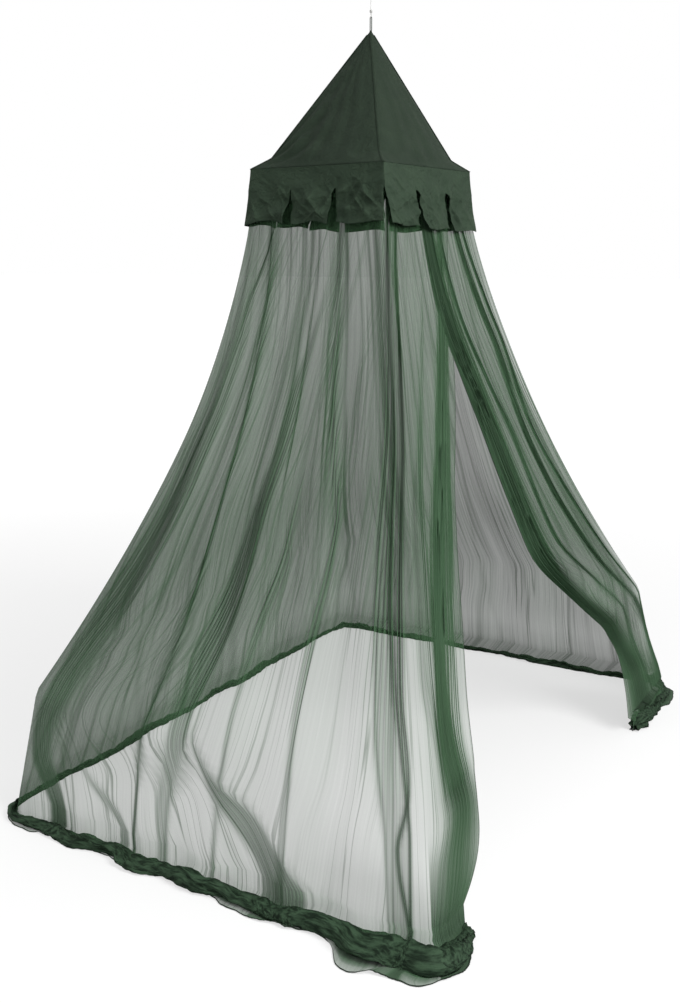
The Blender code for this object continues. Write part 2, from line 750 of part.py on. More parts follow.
def side_span(side, height):
    """Start and end of a side along its own direction, at a height."""
    top = FRAME_SIDE / 2
    foot = SHOULDER_FOOT
    head = SHOULDER_HEAD
    front = reach_at(height, top, SHOULDER_FRONT, FLOOR_FRONT, foot)
    back = reach_at(height, top, SHOULDER_BACK, FLOOR_BACK, head)
    width_front = reach_at(height, top, SHOULDER_SIDE, FLOOR_SIDE, foot)
    width_back = reach_at(height, top, SHOULDER_SIDE, FLOOR_SIDE, head)
    return {"foot": (-width_front, width_front), "door": (-front, back),
            "head": (-width_back, width_back), "left": (-back, front)}[side]


def drape(side, share, height, out=0.0):
    """Point of the drape at a share of a side and a height, moved outwards by out."""
    normal, along = SIDES[side]
    top = FRAME_SIDE / 2
    start, end = side_span(side, height)
    position = start + (end - start) * share
    shoulder_height = shoulder_at(side, share)
    if side in ("door", "left"):
        reach = reach_at(height, top, SHOULDER_SIDE, FLOOR_SIDE, shoulder_height)
    elif side == "foot":
        reach = reach_at(height, top, SHOULDER_FRONT, FLOOR_FRONT, shoulder_height)
    else:
        reach = reach_at(height, top, SHOULDER_BACK, FLOOR_BACK, shoulder_height)
    softness = smoothstep((NET_TOP - height) / (NET_TOP - SHOULDER_HEAD))
    radius = CORNER_RADIUS_TOP + (CORNER_RADIUS_FLOOR - CORNER_RADIUS_TOP) * softness
    outward = normal.copy()
    near_start = position - start < radius
    near_end = end - position < radius
    if near_start or near_end:
        sense = -1 if near_start else 1
        distance = position - start if near_start else end - position
        angle = math.pi / 4 * (1 - distance / radius)
        outward = normal * math.cos(angle) + along * sense * math.sin(angle)
        corner = start + radius if near_start else end - radius
        centre = normal * (reach - radius) + along * corner
        place = centre + outward * radius
    else:
        place = normal * reach + along * position
    place += outward * out
    place.z = level(height)
    return place


def net_heights():
    """Heights of the rows of the netting, from its sewn top edge to the floor."""
    return [NET_TOP * share for share in LEVELS] + [HEAP_HEIGHT * row[0] for row in HEAP_ROWS]


def heap_share(height):
    """How full the heap on the floor is at a height, from 0 to 1."""
    key = height / HEAP_HEIGHT
    for upper, lower in zip(HEAP_ROWS, HEAP_ROWS[1:]):
        if upper[0] >= key >= lower[0]:
            return upper[1] + (lower[1] - upper[1]) * (upper[0] - key) / (upper[0] - lower[0])
    return 0.0


def fold_depth(height):
    """Depth of the main folds at a height."""
    if height > SHOULDER_HEAD:
        share = smoothstep((NET_TOP - height) / (NET_TOP - SHOULDER_HEAD))
        return FOLD_TOP + (FOLD_SHOULDER - FOLD_TOP) * share
    return FOLD_FLOOR + (FOLD_SHOULDER - FOLD_FLOOR) * height / SHOULDER_HEAD


def net_panel(side, piece, columns, first, last, folds, lean=1.0):
    """Closed sheet of netting with folds, and the binding along its hem.

    first and last give, for a height, the shares of the side where the panel starts and ends.
    A panel stops half a gap short of a shared corner. lean draws the folds together near the
    top of the start.
    """
    inner, outer = [], []
    for column in range(columns + 1):
        across = column / columns
        low, high = [], []
        for height in net_heights():
            start, end = side_span(side, height)
            trim = GAP / 2 / (end - start)
            begin = max(first(height), trim)
            finish = min(last(height), 1 - trim)
            drawn = smoothstep((height - SHOULDER_FOOT) / (NET_TOP - SHOULDER_FOOT))
            placed = across + (across ** lean - across) * drawn
            share = begin + (finish - begin) * placed
            edge = min(1.0, 6 * across, 6 * (1 - across))
            wave = fold_depth(height) * edge * math.sin(2 * math.pi * folds * across)
            swell = 1 + HEAP_SWELL * edge * math.sin(1.2 * math.pi * folds * across + 1)
            heap = heap_share(height)
            low.append(drape(side, share, height, wave - NET_WALL / 2 - HEAP_INSET * heap))
            high.append(drape(side, share, height,
                              wave + NET_WALL / 2 + HEAP_WIDTH * swell * heap))
        inner.append(low)
        outer.append(high)
    sheet_solid("net_" + piece, inner, outer, NETTING)
    add_hem_binding("hem_binding_" + piece, inner, outer)


def add_hem_binding(name, inner, outer):
    """Bound lower edge of a panel, lying on the floor in the foot of its heap."""
    rise = BINDING_RADIUS / (outer[0][-2].z - outer[0][-1].z)
    foot = [high[-1].lerp(high[-2], rise) for high in outer]
    clear = BINDING_RADIUS + GAP
    points = offset_in_plan(foot, outer[0][-1] - inner[0][-1], clear + GAP)
    points[0] += (points[1] - points[0]).normalized() * clear
    points[-1] += (points[-2] - points[-1]).normalized() * clear
    tube(name, points, BINDING_RADIUS, TAPE, 0)


def offset_in_plan(points, outward, distance):
    """Line beside a level line, on its outward side, with mitred bends."""
    normals = []
    for first, second in zip(points, points[1:]):
        run = second - first
        normal = Vector((run.y, -run.x, 0)).normalized()
        normals.append(normal)
    if normals[0].dot(outward) < 0:
        normals = [-normal for normal in normals]
    normals = [normals[0]] + normals + [normals[-1]]
    beside = []
    for place, before, after in zip(points, normals, normals[1:]):
        beside.append(place + (before + after) * distance / (1 + before.dot(after)))
    return beside


def share_of_door(distance, height):
    start, end = side_span("door", height)
    return distance / (end - start)


def near_place(height):
    """Share of the door side, half width and half thickness of the near curtain at a height."""
    factor, half, thickness = read_table(NEAR_ROUTE, height / NET_TOP)
    heap = heap_share(height)
    share = share_of_door(factor * NEAR_HINGE * FRAME_SIDE, height)
    return share, half + CURTAIN_HEAP_WIDTH * heap, thickness + CURTAIN_HEAP_DEPTH * heap


def far_place(height):
    """The same for the far curtain."""
    share, half, thickness = read_table(FAR_ROUTE, height / NET_TOP)
    heap = heap_share(height)
    return share, half + CURTAIN_HEAP_WIDTH * heap, thickness + CURTAIN_HEAP_DEPTH * heap


def near_flap_end(height):
    share, half, _ = near_place(height)
    return share - share_of_door(half + CURTAIN_GAP, height)


def far_flap_start(height):
    share, half, _ = far_place(height)
    return share + share_of_door(half + CURTAIN_GAP, height)


def side_start(height):
    return 0.0


def side_end(height):
    return 1.0


def add_netting():
    """Net panels of the foot, left and head sides, and the still parts of the door side."""
    net_panel("foot", "foot", 4 * FOLDS_FOOT, side_start, side_end, FOLDS_FOOT, FOLD_LEAN)
    net_panel("left", "left", 4 * FOLDS_LEFT, side_start, side_end, FOLDS_LEFT)
    net_panel("head", "head", 4 * FOLDS_HEAD, side_start, side_end, FOLDS_HEAD)
    net_panel("door", "near_flap", 5, side_start, near_flap_end, 0.5)
    net_panel("door", "far_flap", 4 * FOLDS_FAR_FLAP, far_flap_start, side_end, FOLDS_FAR_FLAP)


def door_side_point(share, height):
    """Point of the door side without its rounded corners, for the curtains' sections."""
    start, end = side_span("door", height)
    reach = reach_at(height, FRAME_SIDE / 2, SHOULDER_SIDE, FLOOR_SIDE, shoulder_at("door", share))
    hidden = smoothstep((height / NET_TOP - 0.85) / 0.08)
    return Vector((reach - CURTAIN_INSET * hidden, start + (end - start) * share, level(height)))


def curtain_sections(place):
    """Centre, half width and half thickness of a curtain at each row of the netting."""
    sections = []
    for height in net_heights():
        share, half, thickness = place(height)
        sections.append((door_side_point(share, height), half, thickness))
    return sections


def curtain(name, sections):
    """Gathered netting as one bunch, lofted through its sections."""
    shape = bmesh.new()
    rings = []
    for centre, half, thickness in sections:
        ring = []
        for step in range(CURTAIN_SIDES):
            angle = 2 * math.pi * step / CURTAIN_SIDES
            depth = thickness * (1 + CURTAIN_CREASE * math.cos(4 * angle))
            ring.append(shape.verts.new(centre + Vector((depth * math.cos(angle),
                                                         half * math.sin(angle), 0))))
        rings.append(ring)
    for upper, lower in zip(rings, rings[1:]):
        for step in range(CURTAIN_SIDES):
            after = (step + 1) % CURTAIN_SIDES
            shape.faces.new([upper[step], upper[after], lower[after], lower[step]])
    shape.faces.new(rings[0])
    shape.faces.new(rings[-1])
    return mesh_object(name, shape, NETTING, smooth=True)


def binding_route(sections, sense):
    """Line just outside a curtain's free edge, from under the valance to the floor."""
    edge = []
    for centre, half, _ in sections[2:]:
        edge.append(centre + Vector((0, sense * half, 0)))
    edge[-1].z += BINDING_RADIUS / 2
    lean = [0.0]
    for upper, lower in zip(edge, edge[1:]):
        lean.append(abs((lower - upper).normalized().y))
    lean.append(0.0)
    route = []
    for index, place in enumerate(edge):
        steepest = max(lean[index], lean[index + 1])
        clear = (BINDING_RADIUS + 2 * GAP) / math.sqrt(1 - steepest ** 2)
        route.append(place + Vector((0, sense * clear, 0)))
    return route


def hang_on_hinge(name, hinge, pieces):
    """Parent pieces to an empty on their hinge's axis, leaving them where they are."""
    pivot = bpy.data.objects.new(name, None)
    pivot.location = hinge
    bpy.context.collection.objects.link(pivot)
    for piece in pieces:
        piece.data.transform(Matrix.Translation(-hinge))
        piece.parent = pivot


def add_curtains():
    """The two gathered door edges that swing about their sewn tops, with their bindings."""
    for name, place, sense in (("near", near_place, 1), ("far", far_place, -1)):
        sections = curtain_sections(place)
        bunch = curtain(name + "_curtain_net", sections)
        binding = tube(name + "_edge_binding", binding_route(sections, sense), BINDING_RADIUS,
                       TAPE, 0)
        hang_on_hinge(name + "_curtain_hinge", hang(sections[0][0]), [bunch, binding])


def build():
    clear_scene()
    add_ceiling_fitting()
    add_hook()
    add_hanging_cord()
    add_top_loop()
    add_roof()
    add_frame()
    add_valance()
    add_netting()
    add_curtains()


build()
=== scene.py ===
import math
import bmesh
import bpy
import numpy as np
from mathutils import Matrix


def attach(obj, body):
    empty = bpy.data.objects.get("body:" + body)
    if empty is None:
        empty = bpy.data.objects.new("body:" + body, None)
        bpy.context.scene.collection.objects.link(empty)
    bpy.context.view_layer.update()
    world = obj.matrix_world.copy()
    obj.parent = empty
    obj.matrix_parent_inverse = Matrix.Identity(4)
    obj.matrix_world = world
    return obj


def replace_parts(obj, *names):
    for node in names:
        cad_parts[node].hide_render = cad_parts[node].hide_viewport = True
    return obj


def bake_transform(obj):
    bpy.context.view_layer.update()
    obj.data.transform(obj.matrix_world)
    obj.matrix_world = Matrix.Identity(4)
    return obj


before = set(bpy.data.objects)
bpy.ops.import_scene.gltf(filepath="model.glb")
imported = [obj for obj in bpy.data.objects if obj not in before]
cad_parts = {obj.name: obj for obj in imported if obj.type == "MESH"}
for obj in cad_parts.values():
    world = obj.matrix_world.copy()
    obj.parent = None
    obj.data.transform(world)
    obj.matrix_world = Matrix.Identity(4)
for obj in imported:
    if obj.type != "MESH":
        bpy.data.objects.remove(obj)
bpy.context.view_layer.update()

scene = bpy.context.scene
collection = scene.collection
ceiling = 2.72  # z = 0 is the ceiling, the floor lies this far below it
netTop, eave, apex = 2.0821, 2.1061, 2.55  # heights above the floor

# Camera first, then the cords
cameraSetup = {"place": (1.874, -3.384, -0.90), "turn": (77.5, 0.0, 30.73), "lens": 39.48, "film": 36.0,
               "shift": 0.0051, "seesTo": 200.0}


def addCamera(setup):
    data = bpy.data.cameras.new("photoView")
    data.lens, data.sensor_width, data.shift_x = setup["lens"], setup["film"], setup["shift"]
    data.clip_end = setup["seesTo"]
    camera = bpy.data.objects.new("photoView", data)
    camera.location = setup["place"]
    camera.rotation_euler = [math.radians(angle) for angle in setup["turn"]]
    collection.objects.link(camera)
    scene.camera = camera


addCamera(cameraSetup)
scene.cycles.transparent_max_bounces = 48  # the view passes many layers of netting

# The frame hangs turned on its cord and a little off the hook; both fade out down the net
hangSetup = {"turn": math.radians(-5.4), "shift": (-0.024, -0.014), "easedAt": 1.20}


def easeIn(value):
    value = np.clip(value, 0.0, 1.0)
    return value * value * (3 - 2 * value)


def hang(points):
    points = np.array(points, float)
    height = points[..., 2] + ceiling
    hold = easeIn((height - hangSetup["easedAt"]) / (netTop - hangSetup["easedAt"]))
    slide = hold * np.clip((apex - height) / (apex - eave), 0, 1)
    cosine, sine = np.cos(hangSetup["turn"] * hold), np.sin(hangSetup["turn"] * hold)
    x = points[..., 0] * cosine - points[..., 1] * sine + hangSetup["shift"][0] * slide
    y = points[..., 0] * sine + points[..., 1] * cosine + hangSetup["shift"][1] * slide
    return np.stack([x, y, points[..., 2]], -1)


class Wire:
    # a socket that works in sums; make() adds any other node
    def __init__(self, tree, socket=None):
        self.tree, self.socket = tree, socket

    def make(self, kind, settings=None, sockets=None, out=0):
        node = self.tree.nodes.new("ShaderNode" + kind)
        for name, value in (settings or {}).items():
            setattr(node, name, value)
        for name, value in (sockets or {}).items():
            if isinstance(value, Wire):
                self.tree.links.new(value.socket, node.inputs[name])
            else:
                node.inputs[name].default_value = value
        return Wire(self.tree, node.outputs[out])

    def beside(self, out):
        # another output of the same node
        return Wire(self.tree, self.socket.node.outputs[out])

    def sum(self, operation, first, second=0.0):
        return self.make("Math", {"operation": operation}, {0: first, 1: second})

    def __add__(self, other):
        return self.sum("ADD", self, other)

    __radd__ = __add__

    def __sub__(self, other):
        return self.sum("SUBTRACT", self, other)

    def __rsub__(self, other):
        return self.sum("SUBTRACT", other, self)

    def __mul__(self, other):
        return self.sum("MULTIPLY", self, other)

    __rmul__ = __mul__

    def __truediv__(self, other):
        return self.sum("DIVIDE", self, other)

    def __rtruediv__(self, other):
        return self.sum("DIVIDE", other, self)

    def __pow__(self, other):
        return self.sum("POWER", self, other)

    def __rpow__(self, other):
        return self.sum("POWER", other, self)

    def __abs__(self):
        return self.sum("ABSOLUTE", self)

    def sine(self):
        return self.sum("SINE", self)

    def clamp(self, low=0.0, high=1.0):
        return self.make("Clamp", None, {"Value": self, "Min": low, "Max": high})

    def blend(self, low, high):
        # self is the share; low and high are colours or wires of colours
        return self.make("Mix", {"data_type": "RGBA"}, {0: self, 6: low, 7: high}, 2)

    def noise(self, scale, detail=2.0, rough=0.5):
        # self is the place
        sockets = {"Vector": self, "Scale": scale, "Detail": detail, "Roughness": rough}
        return self.make("TexNoise", None, sockets)

    def strands(self, across, down, detail=2.0, rough=0.5):
        # noise drawn out along the cloth
        place = self.make("Mapping", None, {"Vector": self, "Scale": (across, down, 1.0)})
        return place.noise(1.0, detail, rough)

    def weave(self, pitch):
        # self is a place on the cloth, pitch the distance from thread to thread
        across = self.make("SeparateXYZ", None, {0: self})
        pace = 2 * math.pi / pitch
        return (across * pace).sine() * (across.beside(1) * pace).sine()


def newMaterial(name, settings):
    material = bpy.data.materials.new(name)
    material.use_nodes = True
    shader = material.node_tree.nodes["Principled BSDF"]
    for socket, value in settings.items():
        shader.inputs[socket].default_value = value
    return material, Wire(material.node_tree), shader


def feed(wire, shader, socket):
    wire.tree.links.new(wire.socket, shader.inputs[socket])


def feedBump(shader, height, distance):
    bump = height.make("Bump", None, {"Strength": 1.0, "Distance": distance, "Height": height})
    feed(bump, shader, "Normal")


def shaded(colour, share):
    return tuple(value * share for value in colour[:3]) + (1,)


# Netting: see-through by its thread count, which the folds pile up
nettingSetup = {
    # heap is the darker tone of piled-up netting, partly denser cloth and partly painted shade within the
    # folds and the pile
    "thin": (0.038, 0.092, 0.041, 1), "thick": (0.041, 0.085, 0.044, 1), "heap": (0.034, 0.064, 0.036, 1),
    # deep is painted shade: the dark colour of the creases in the heap on the floor
    "deep": (0.006, 0.014, 0.007, 1), "open": 0.70, "most": 14.0, "knit": 0.0016, "knitDepth": 0.04,
    "slub": 0.30, "doubled": 2.2, "thickFrom": 8.5, "heapFrom": 15, "relief": 0.004,
    # how often noise changes across and down the net in a metre, its detail and roughness
    "streak": (150.0, 1.6, 3.0, 0.6), "broad": (28.0, 1.1), "line": (42.0, 0.8, 1.0), "shown": (7.0, 0.7)}


def makeNetting(setup):
    material, start, shader = newMaterial("netting", {"Roughness": 0.75, "Specular IOR Level": 0.12})
    threads = start.make("Attribute", {"attribute_name": "threads"}, None, 2)
    run = start.make("UVMap", {"uv_map": "run"})
    knit = start.make("UVMap", {"uv_map": "weave"}).weave(setup["knit"]) * setup["knitDepth"]
    streak, broad = run.strands(*setup["streak"]), run.strands(*setup["broad"])
    fine = 1 + setup["slub"] * (streak - 0.5) * 2 + setup["slub"] * (broad - 0.5) + knit
    shown = (run.strands(*setup["shown"]) * 5 - 2.1).clamp()
    line = (1 - abs(run.strands(*setup["line"]) - 0.5) * 28).clamp()
    count = (threads * fine + line * shown * setup["doubled"]).clamp(0.3, setup["most"])
    across = start.make("SeparateXYZ", None, {0: run})
    down = across.beside(1)
    slant = start.make("CombineXYZ", None, {0: across * 16 + down * 50, 1: down * 170 - across * 9})
    crease = slant.noise(1.0, 3.0, 0.6)
    heap = ((threads - setup["heapFrom"]) / 4).clamp()
    tone = ((count - 1) / 4).clamp().blend(setup["thin"], setup["thick"])
    # darker towards the heap colour where the threads pile up: partly denser cloth, partly painted shade
    # within the folds and the pile
    tone = ((threads - setup["thickFrom"]) / 5).clamp().blend(tone, setup["heap"])
    # painted shade: the heap goes dark towards deep in its creases, standing in for the shade inside the pile
    pileWithPaintedShade = ((0.60 - crease) * 5).clamp().blend(setup["heap"], setup["deep"])
    feed((1 - setup["open"] ** count).clamp(0.05, 1.0), shader, "Alpha")
    feed(heap.blend(tone, pileWithPaintedShade), shader, "Base Color")
    feedBump(shader, streak * 0.2 + heap * crease, setup["relief"])
    return material


# Dense cloth of the roof and the valance
clothSetup = {"light": (0.022, 0.036, 0.022, 1), "dark": (0.011, 0.020, 0.012, 1), "weave": 0.0011,
              "relief": 0.0005, "patch": (9.0, 4.0, 0.6), "thread": (900.0, 60.0), "crease": (16.0, 3.0, 0.55),
              "bent": (14.0, 0.06)}


def makeCloth(name, setup, tint=1.0, creased=0.003, solid=1.0):
    settings = {"Roughness": 0.8, "Specular IOR Level": 0.15, "Alpha": solid}
    material, start, shader = newMaterial(name, settings)
    uv = start.make("UVMap", {"uv_map": "run"})
    patch, thread = uv.noise(*setup["patch"]), uv.strands(*setup["thread"])
    bend, reach = setup["bent"]
    shade = ((patch - 0.5) * 1.6 + 0.5 + (thread - 0.5) * 0.3).clamp()
    feed(shade.blend(shaded(setup["dark"], tint), shaded(setup["light"], tint)), shader, "Base Color")
    feed(0.72 + patch * 0.16, shader, "Roughness")
    moved = start.make("VectorMath", {"operation": "ADD"}, {0: uv, 1: uv.noise(bend) * reach})
    crease = (1 - abs(moved.noise(*setup["crease"]) - 0.5) * 5).clamp()
    grain = (uv.weave(setup["weave"]) * 0.4 + thread * 0.5) * setup["relief"]
    feedBump(shader, grain + crease * creased, 1.0)
    return material


# Woven tape, cords and the hard parts, on object coordinates
def makeTape(name, colour, scale=1.0):
    settings = {"Roughness": 0.7, "Specular IOR Level": 0.3, "Sheen Weight": 0.2}
    material, start, shader = newMaterial(name, settings)
    place = start.make("TexCoord", None, None, 3)
    rib = start.make("TexWave", {"bands_direction": "Z"}, {
        "Vector": place, "Scale": 420.0 * scale, "Distortion": 1.5, "Detail": 2.0, "Detail Scale": 2.0}, 1)
    tone = place.noise(60.0 * scale, 3.0)
    feed((tone * 0.7 + rib * 0.3).clamp().blend(shaded(colour, 0.62), colour + (1,)), shader, "Base Color")
    feedBump(shader, rib + tone * 0.4, 0.0003)
    return material


def makeHard(name, colour, roughness, metallic=0.0, grain=0.15):
    material, start, shader = newMaterial(name, {"Metallic": metallic, "Specular IOR Level": 0.5})
    place = start.make("TexCoord", None, None, 3)
    smudge = place.noise(90.0, 4.0, 0.6)
    feed(smudge.blend(shaded(colour, 1 - grain), colour + (1,)), shader, "Base Color")
    feed((roughness + (smudge - 0.5) * 0.25).clamp(0.05, 1.0), shader, "Roughness")
    feedBump(shader, place.noise(900.0), 0.00008)
    return material


netting = makeNetting(nettingSetup)
canopyCloth = makeCloth("canopyCloth", clothSetup)
valanceCloth = makeCloth("valanceCloth", clothSetup, 1.5, 0.006)
hemCloth = makeCloth("hemCloth", clothSetup)
edgeCloth = makeCloth("edgeCloth", clothSetup, 2.6, 0.001, 0.45)
greenTape = makeTape("greenTape", (0.030, 0.052, 0.033))
whiteCord = makeTape("whiteCord", (0.62, 0.62, 0.60), 4.0)
whitePaint = makeHard("whitePaint", (0.74, 0.74, 0.72), 0.38)
zincSteel = makeHard("zincSteel", (0.56, 0.56, 0.57), 0.30, 1.0)
whiteNylon = makeHard("whiteNylon", (0.68, 0.68, 0.66), 0.5)
blackNylon = makeHard("blackNylon", (0.020, 0.020, 0.021), 0.45)
glassFibre = makeHard("glassFibre", (0.62, 0.62, 0.56), 0.35)
print("materials ready")


def finishPiece(name, data, material, body=None):
    data.materials.append(material)
    piece = bpy.data.objects.new(name, data)
    collection.objects.link(piece)
    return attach(piece, body) if body else piece


# Cords follow the same points as their solids
cordSetup = {
    "radius": 0.0009, "eyeTop": -0.0372, "eyeRadius": 0.0080, "upperKnot": -0.0672, "lowerKnot": -0.1124,
    "lowerBend": -0.1324, "bight": 0.0032, "beside": 0.0012, "tail": 0.003, "knotReach": 0.004575,
    "knotPitch": 0.00225, "knotRadius": 0.0036}


def eyeSide(start, end):
    # places as (y, z), upright at both ends
    start, end = np.array(start), np.array(end)
    pull = np.array([0, (end[1] - start[1]) * 0.9])
    points = []
    for step in range(1, 5):
        share = step / 5
        square, cube = share ** 2, share ** 3
        points.append(start * (2 * cube - 3 * square + 1) + pull * (cube - 2 * square + share)
                      + end * (3 * square - 2 * cube) + pull * (cube - square))
    return points


def halfTurn(radius, middle, begin, steps):
    # half a circle of places, from the angle begin on
    angles = [begin + math.pi * step / steps for step in range(steps + 1)]
    return [(radius * math.cos(angle), middle + radius * math.sin(angle)) for angle in angles]


def cordPoints(setup):
    beside, eye, bend = setup["beside"], setup["eyeRadius"], setup["bight"]
    centre, bight = setup["eyeTop"] - eye, setup["lowerBend"] + bend
    top, low = setup["upperKnot"] + setup["knotReach"], setup["lowerKnot"] - setup["knotReach"]
    points = [(beside, setup["upperKnot"] - setup["knotReach"] - setup["tail"]), (beside, top)]
    points += eyeSide((beside, top), (eye, centre)) + halfTurn(eye, centre, 0, 14)
    points += eyeSide((-beside, top), (-eye, centre))[::-1]
    points += [(-beside, top - (top - low) * step / 8) for step in range(9)]
    points += eyeSide((-beside, low), (-bend, bight)) + halfTurn(bend, bight, math.pi, 8)
    points += eyeSide((beside, low), (bend, bight))[::-1]
    points += [(beside, low), (beside, low + 2 * setup["knotReach"] + setup["tail"])]
    return [(0, y, z) for y, z in points]


def cordCurve(name, points, radius, material, body, sides):
    curve = bpy.data.curves.new(name, "CURVE")
    curve.dimensions = "3D"
    curve.bevel_depth, curve.bevel_resolution, curve.use_fill_caps = radius, sides, True
    spline = curve.splines.new("POLY")
    spline.points.add(len(points) - 1)
    for point, place in zip(spline.points, hang(points)):
        point.co = (*place, 1.0)
    return finishPiece(name, curve, material, body)


def knotPoints(setup, middle):
    # three turns of the cord round itself
    points = []
    for step in range(61):
        angle = 2 * math.pi * step / 20
        points.append((setup["knotRadius"] * math.cos(angle), setup["knotRadius"] * math.sin(angle),
                       middle + setup["knotPitch"] * (step / 20 - 1.5)))
    return points


route = cordPoints(cordSetup)
routeLength = float(np.linalg.norm(np.diff(hang(route), axis=0), axis=1).sum())
hangingCord = cordCurve("hangingCord", route, cordSetup["radius"], whiteCord, "net", 3)
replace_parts(hangingCord, "hanging_cord")
for place in ("upper", "lower"):
    points = knotPoints(cordSetup, cordSetup[place + "Knot"])
    knot = cordCurve(place + "CordKnot", points, cordSetup["radius"], whiteCord, "net", 2)
    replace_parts(knot, place + "_knot")
tuple(hang(route[0]))

# Doubled green cord at the peak
peakLoopSetup = {"radius": 0.0016, "half": 0.0030, "top": -0.1296, "foot": -0.20032}


def peakLoopPoints(setup):
    half, foot = setup["half"], setup["foot"]
    bend = setup["top"] - half
    points = [(half, 0, foot + (bend - foot) * step / 20) for step in range(21)]
    points += [(x, 0, z) for x, z in halfTurn(half, bend, 0, 16)[1:-1]]
    return points + [(-half, 0, bend - (bend - foot) * step / 20) for step in range(21)]


points = peakLoopPoints(peakLoopSetup)
peakLoop = cordCurve("peakLoop", points, peakLoopSetup["radius"], greenTape, "net", 3)
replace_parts(peakLoop, "top_loop")
print("cords ready")

# The drape: half sizes of each side at its shoulder and on the floor
drapeSetup = {
    "top": 0.26, "bow": 1.5, "radiusTop": 0.015, "radiusFloor": 0.09, "side": (0.74, 0.80),
    "front": (0.985, 1.05), "back": (1.03, 1.20), "shoulderFoot": 0.42, "shoulderHead": 0.50,
    "rows": 62, "closer": 1.5}
sideNames = ("foot", "left", "head", "door")


def reachAt(height, sizes, shoulder):
    share = np.clip((netTop - height) / (netTop - shoulder), 0, 1)
    bowed = drapeSetup["top"] + (sizes[0] - drapeSetup["top"]) * share ** drapeSetup["bow"]
    straight = sizes[0] + (sizes[1] - sizes[0]) * (shoulder - height) / shoulder
    return np.where(height >= shoulder, bowed, straight)


def sideLengths(height):
    # from the middle to the foot and to the head, and half across at each
    foot, head = drapeSetup["shoulderFoot"], drapeSetup["shoulderHead"]
    return [reachAt(height, drapeSetup[part], shoulder) for part, shoulder in
            (("front", foot), ("back", head), ("side", foot), ("side", head))]


def sideStarts(height):
    # distances round the net from the near corner to where each side begins
    front, back, wideFront, wideBack = sideLengths(height)
    return (0 * front, 2 * wideFront, 2 * wideFront + front + back,
            2 * wideFront + 2 * wideBack + front + back)


def sideStart(side, height):
    return sideStarts(height)[sideNames.index(side)]


def drapePoint(along, height, out):
    # along runs round the net from the near corner over sideNames; below 0 it is on the door side
    shape = drapeSetup
    front, back, wideFront, wideBack = sideLengths(height)
    starts = sideStarts(height)
    sides = ((0, -1, 1, 0, wideFront, wideFront, "front"), (-1, 0, 0, -1, back, front, "side"),
             (0, 1, -1, 0, wideBack, wideBack, "back"), (1, 0, 0, 1, front, back, "side"))
    which = np.where(along < 0, 3, sum((along >= start).astype(int) for start in starts[1:]))
    place = np.zeros(along.shape + (3,))
    for index, (nx, ny, ax, ay, begin, end, sizes) in enumerate(sides):
        here = which == index
        if not here.any():
            continue
        position = end - (along - starts[index])
        if index == 3:
            position = np.where(along < 0, -begin - along, position)
        share = (position + begin) / (begin + end)
        rise = (0.0, 1.0 - share, 1.0, share)[index]
        shoulder = shape["shoulderFoot"] + (shape["shoulderHead"] - shape["shoulderFoot"]) * rise
        reach = reachAt(height, shape[sizes], shoulder)
        soft = easeIn((netTop - height) / (netTop - shape["shoulderHead"]))
        radius = shape["radiusTop"] + (shape["radiusFloor"] - shape["radiusTop"]) * soft
        fromStart, fromEnd = position + begin, end - position
        near = np.minimum(fromStart, fromEnd)
        inside = near < radius
        angle = np.pi / 4 * np.clip(1 - near / radius, 0, 1)
        outN, outA = np.cos(angle), np.sin(angle) * np.where(fromStart < fromEnd, -1.0, 1.0)
        corner = np.where(fromStart < fromEnd, radius - begin, end - radius)
        beside = np.where(inside, corner + outA * radius, position) + outA * out
        away = np.where(inside, reach - radius + outN * radius, reach) + outN * out
        point = np.stack([nx * away + ax * beside, ny * away + ay * beside, height - ceiling], -1)
        place[here] = point[here]
    return place


def wander(values, seed, scale=1.0):
    # smooth repeatable waviness of about -1 to 1
    pace = np.random.default_rng(seed).uniform(0.6, 1.6, 4)
    start = np.random.default_rng(seed + 1).uniform(0, 6.28, 4)
    waves = [np.sin(values * scale * pace[i] * (1 + i * 0.7) + start[i]) / (1 + 0.4 * i) for i in range(4)]
    return sum(waves) / 2.0


def waved(values, waves, start=0):
    return sum((size * wander(values, seed, scale) for size, seed, scale in waves), start)


# Heap on the floor: outward and upward path of the cloth below the drape, rolled up
heapPath = (
    (0.000, 0.080), (0.000, 0.066), (0.003, 0.050), (0.010, 0.036), (0.022, 0.023), (0.036, 0.013),
    (0.048, 0.007), (0.058, 0.006), (0.065, 0.011), (0.067, 0.020), (0.064, 0.030), (0.057, 0.038),
    (0.047, 0.044), (0.035, 0.047), (0.022, 0.046), (0.010, 0.041), (0.003, 0.032), (0.003, 0.020),
    (0.012, 0.011), (0.028, 0.007), (0.048, 0.005), (0.070, 0.003), (0.086, 0.002))
heapSetup = {
    # its size at distances round the net, from the near corner over sideNames to the far one
    "places": (-0.25, -0.1, 0.05, 0.4, 0.8, 1.35, 1.6, 1.8, 3.8, 5.2, 5.5, 5.8, 6.1),
    "sizes": (0.7, 1.0, 1.25, 0.9, 0.85, 0.62, 0.45, 0.38, 0.33, 0.4, 0.6, 0.8, 1.15),
    "height": 0.03, "pitch": 1.25, "tuckedFrom": 18, "freeEnd": 0.15, "turnedBy": 7,
    # waviness as height, seed and pace
    "fat": ((0.22, 24, 7), (0.10, 25, 25)), "high": ((0.22, 26, 9), (0.10, 27, 30)),
    "tip": ((0.009, 42, 9), (0.002, 44, 40)), "tuck": ((1.6, 54, 6),), "floor": ((1, 46, 40),),
    "countRows": (0, 3, 7, 19, 21, 22), "counts": (0, 0.5, 20, 20, 1.5, 0.6)}

# Main folds, as in the solids: side, their number, how far they lean together at the top
mainFolds = {"top": 0.002, "shoulder": 0.016, "floor": 0.010,
             "sides": (("foot", 6, 1.5), ("left", 5, 1.0), ("head", 5, 1.0))}


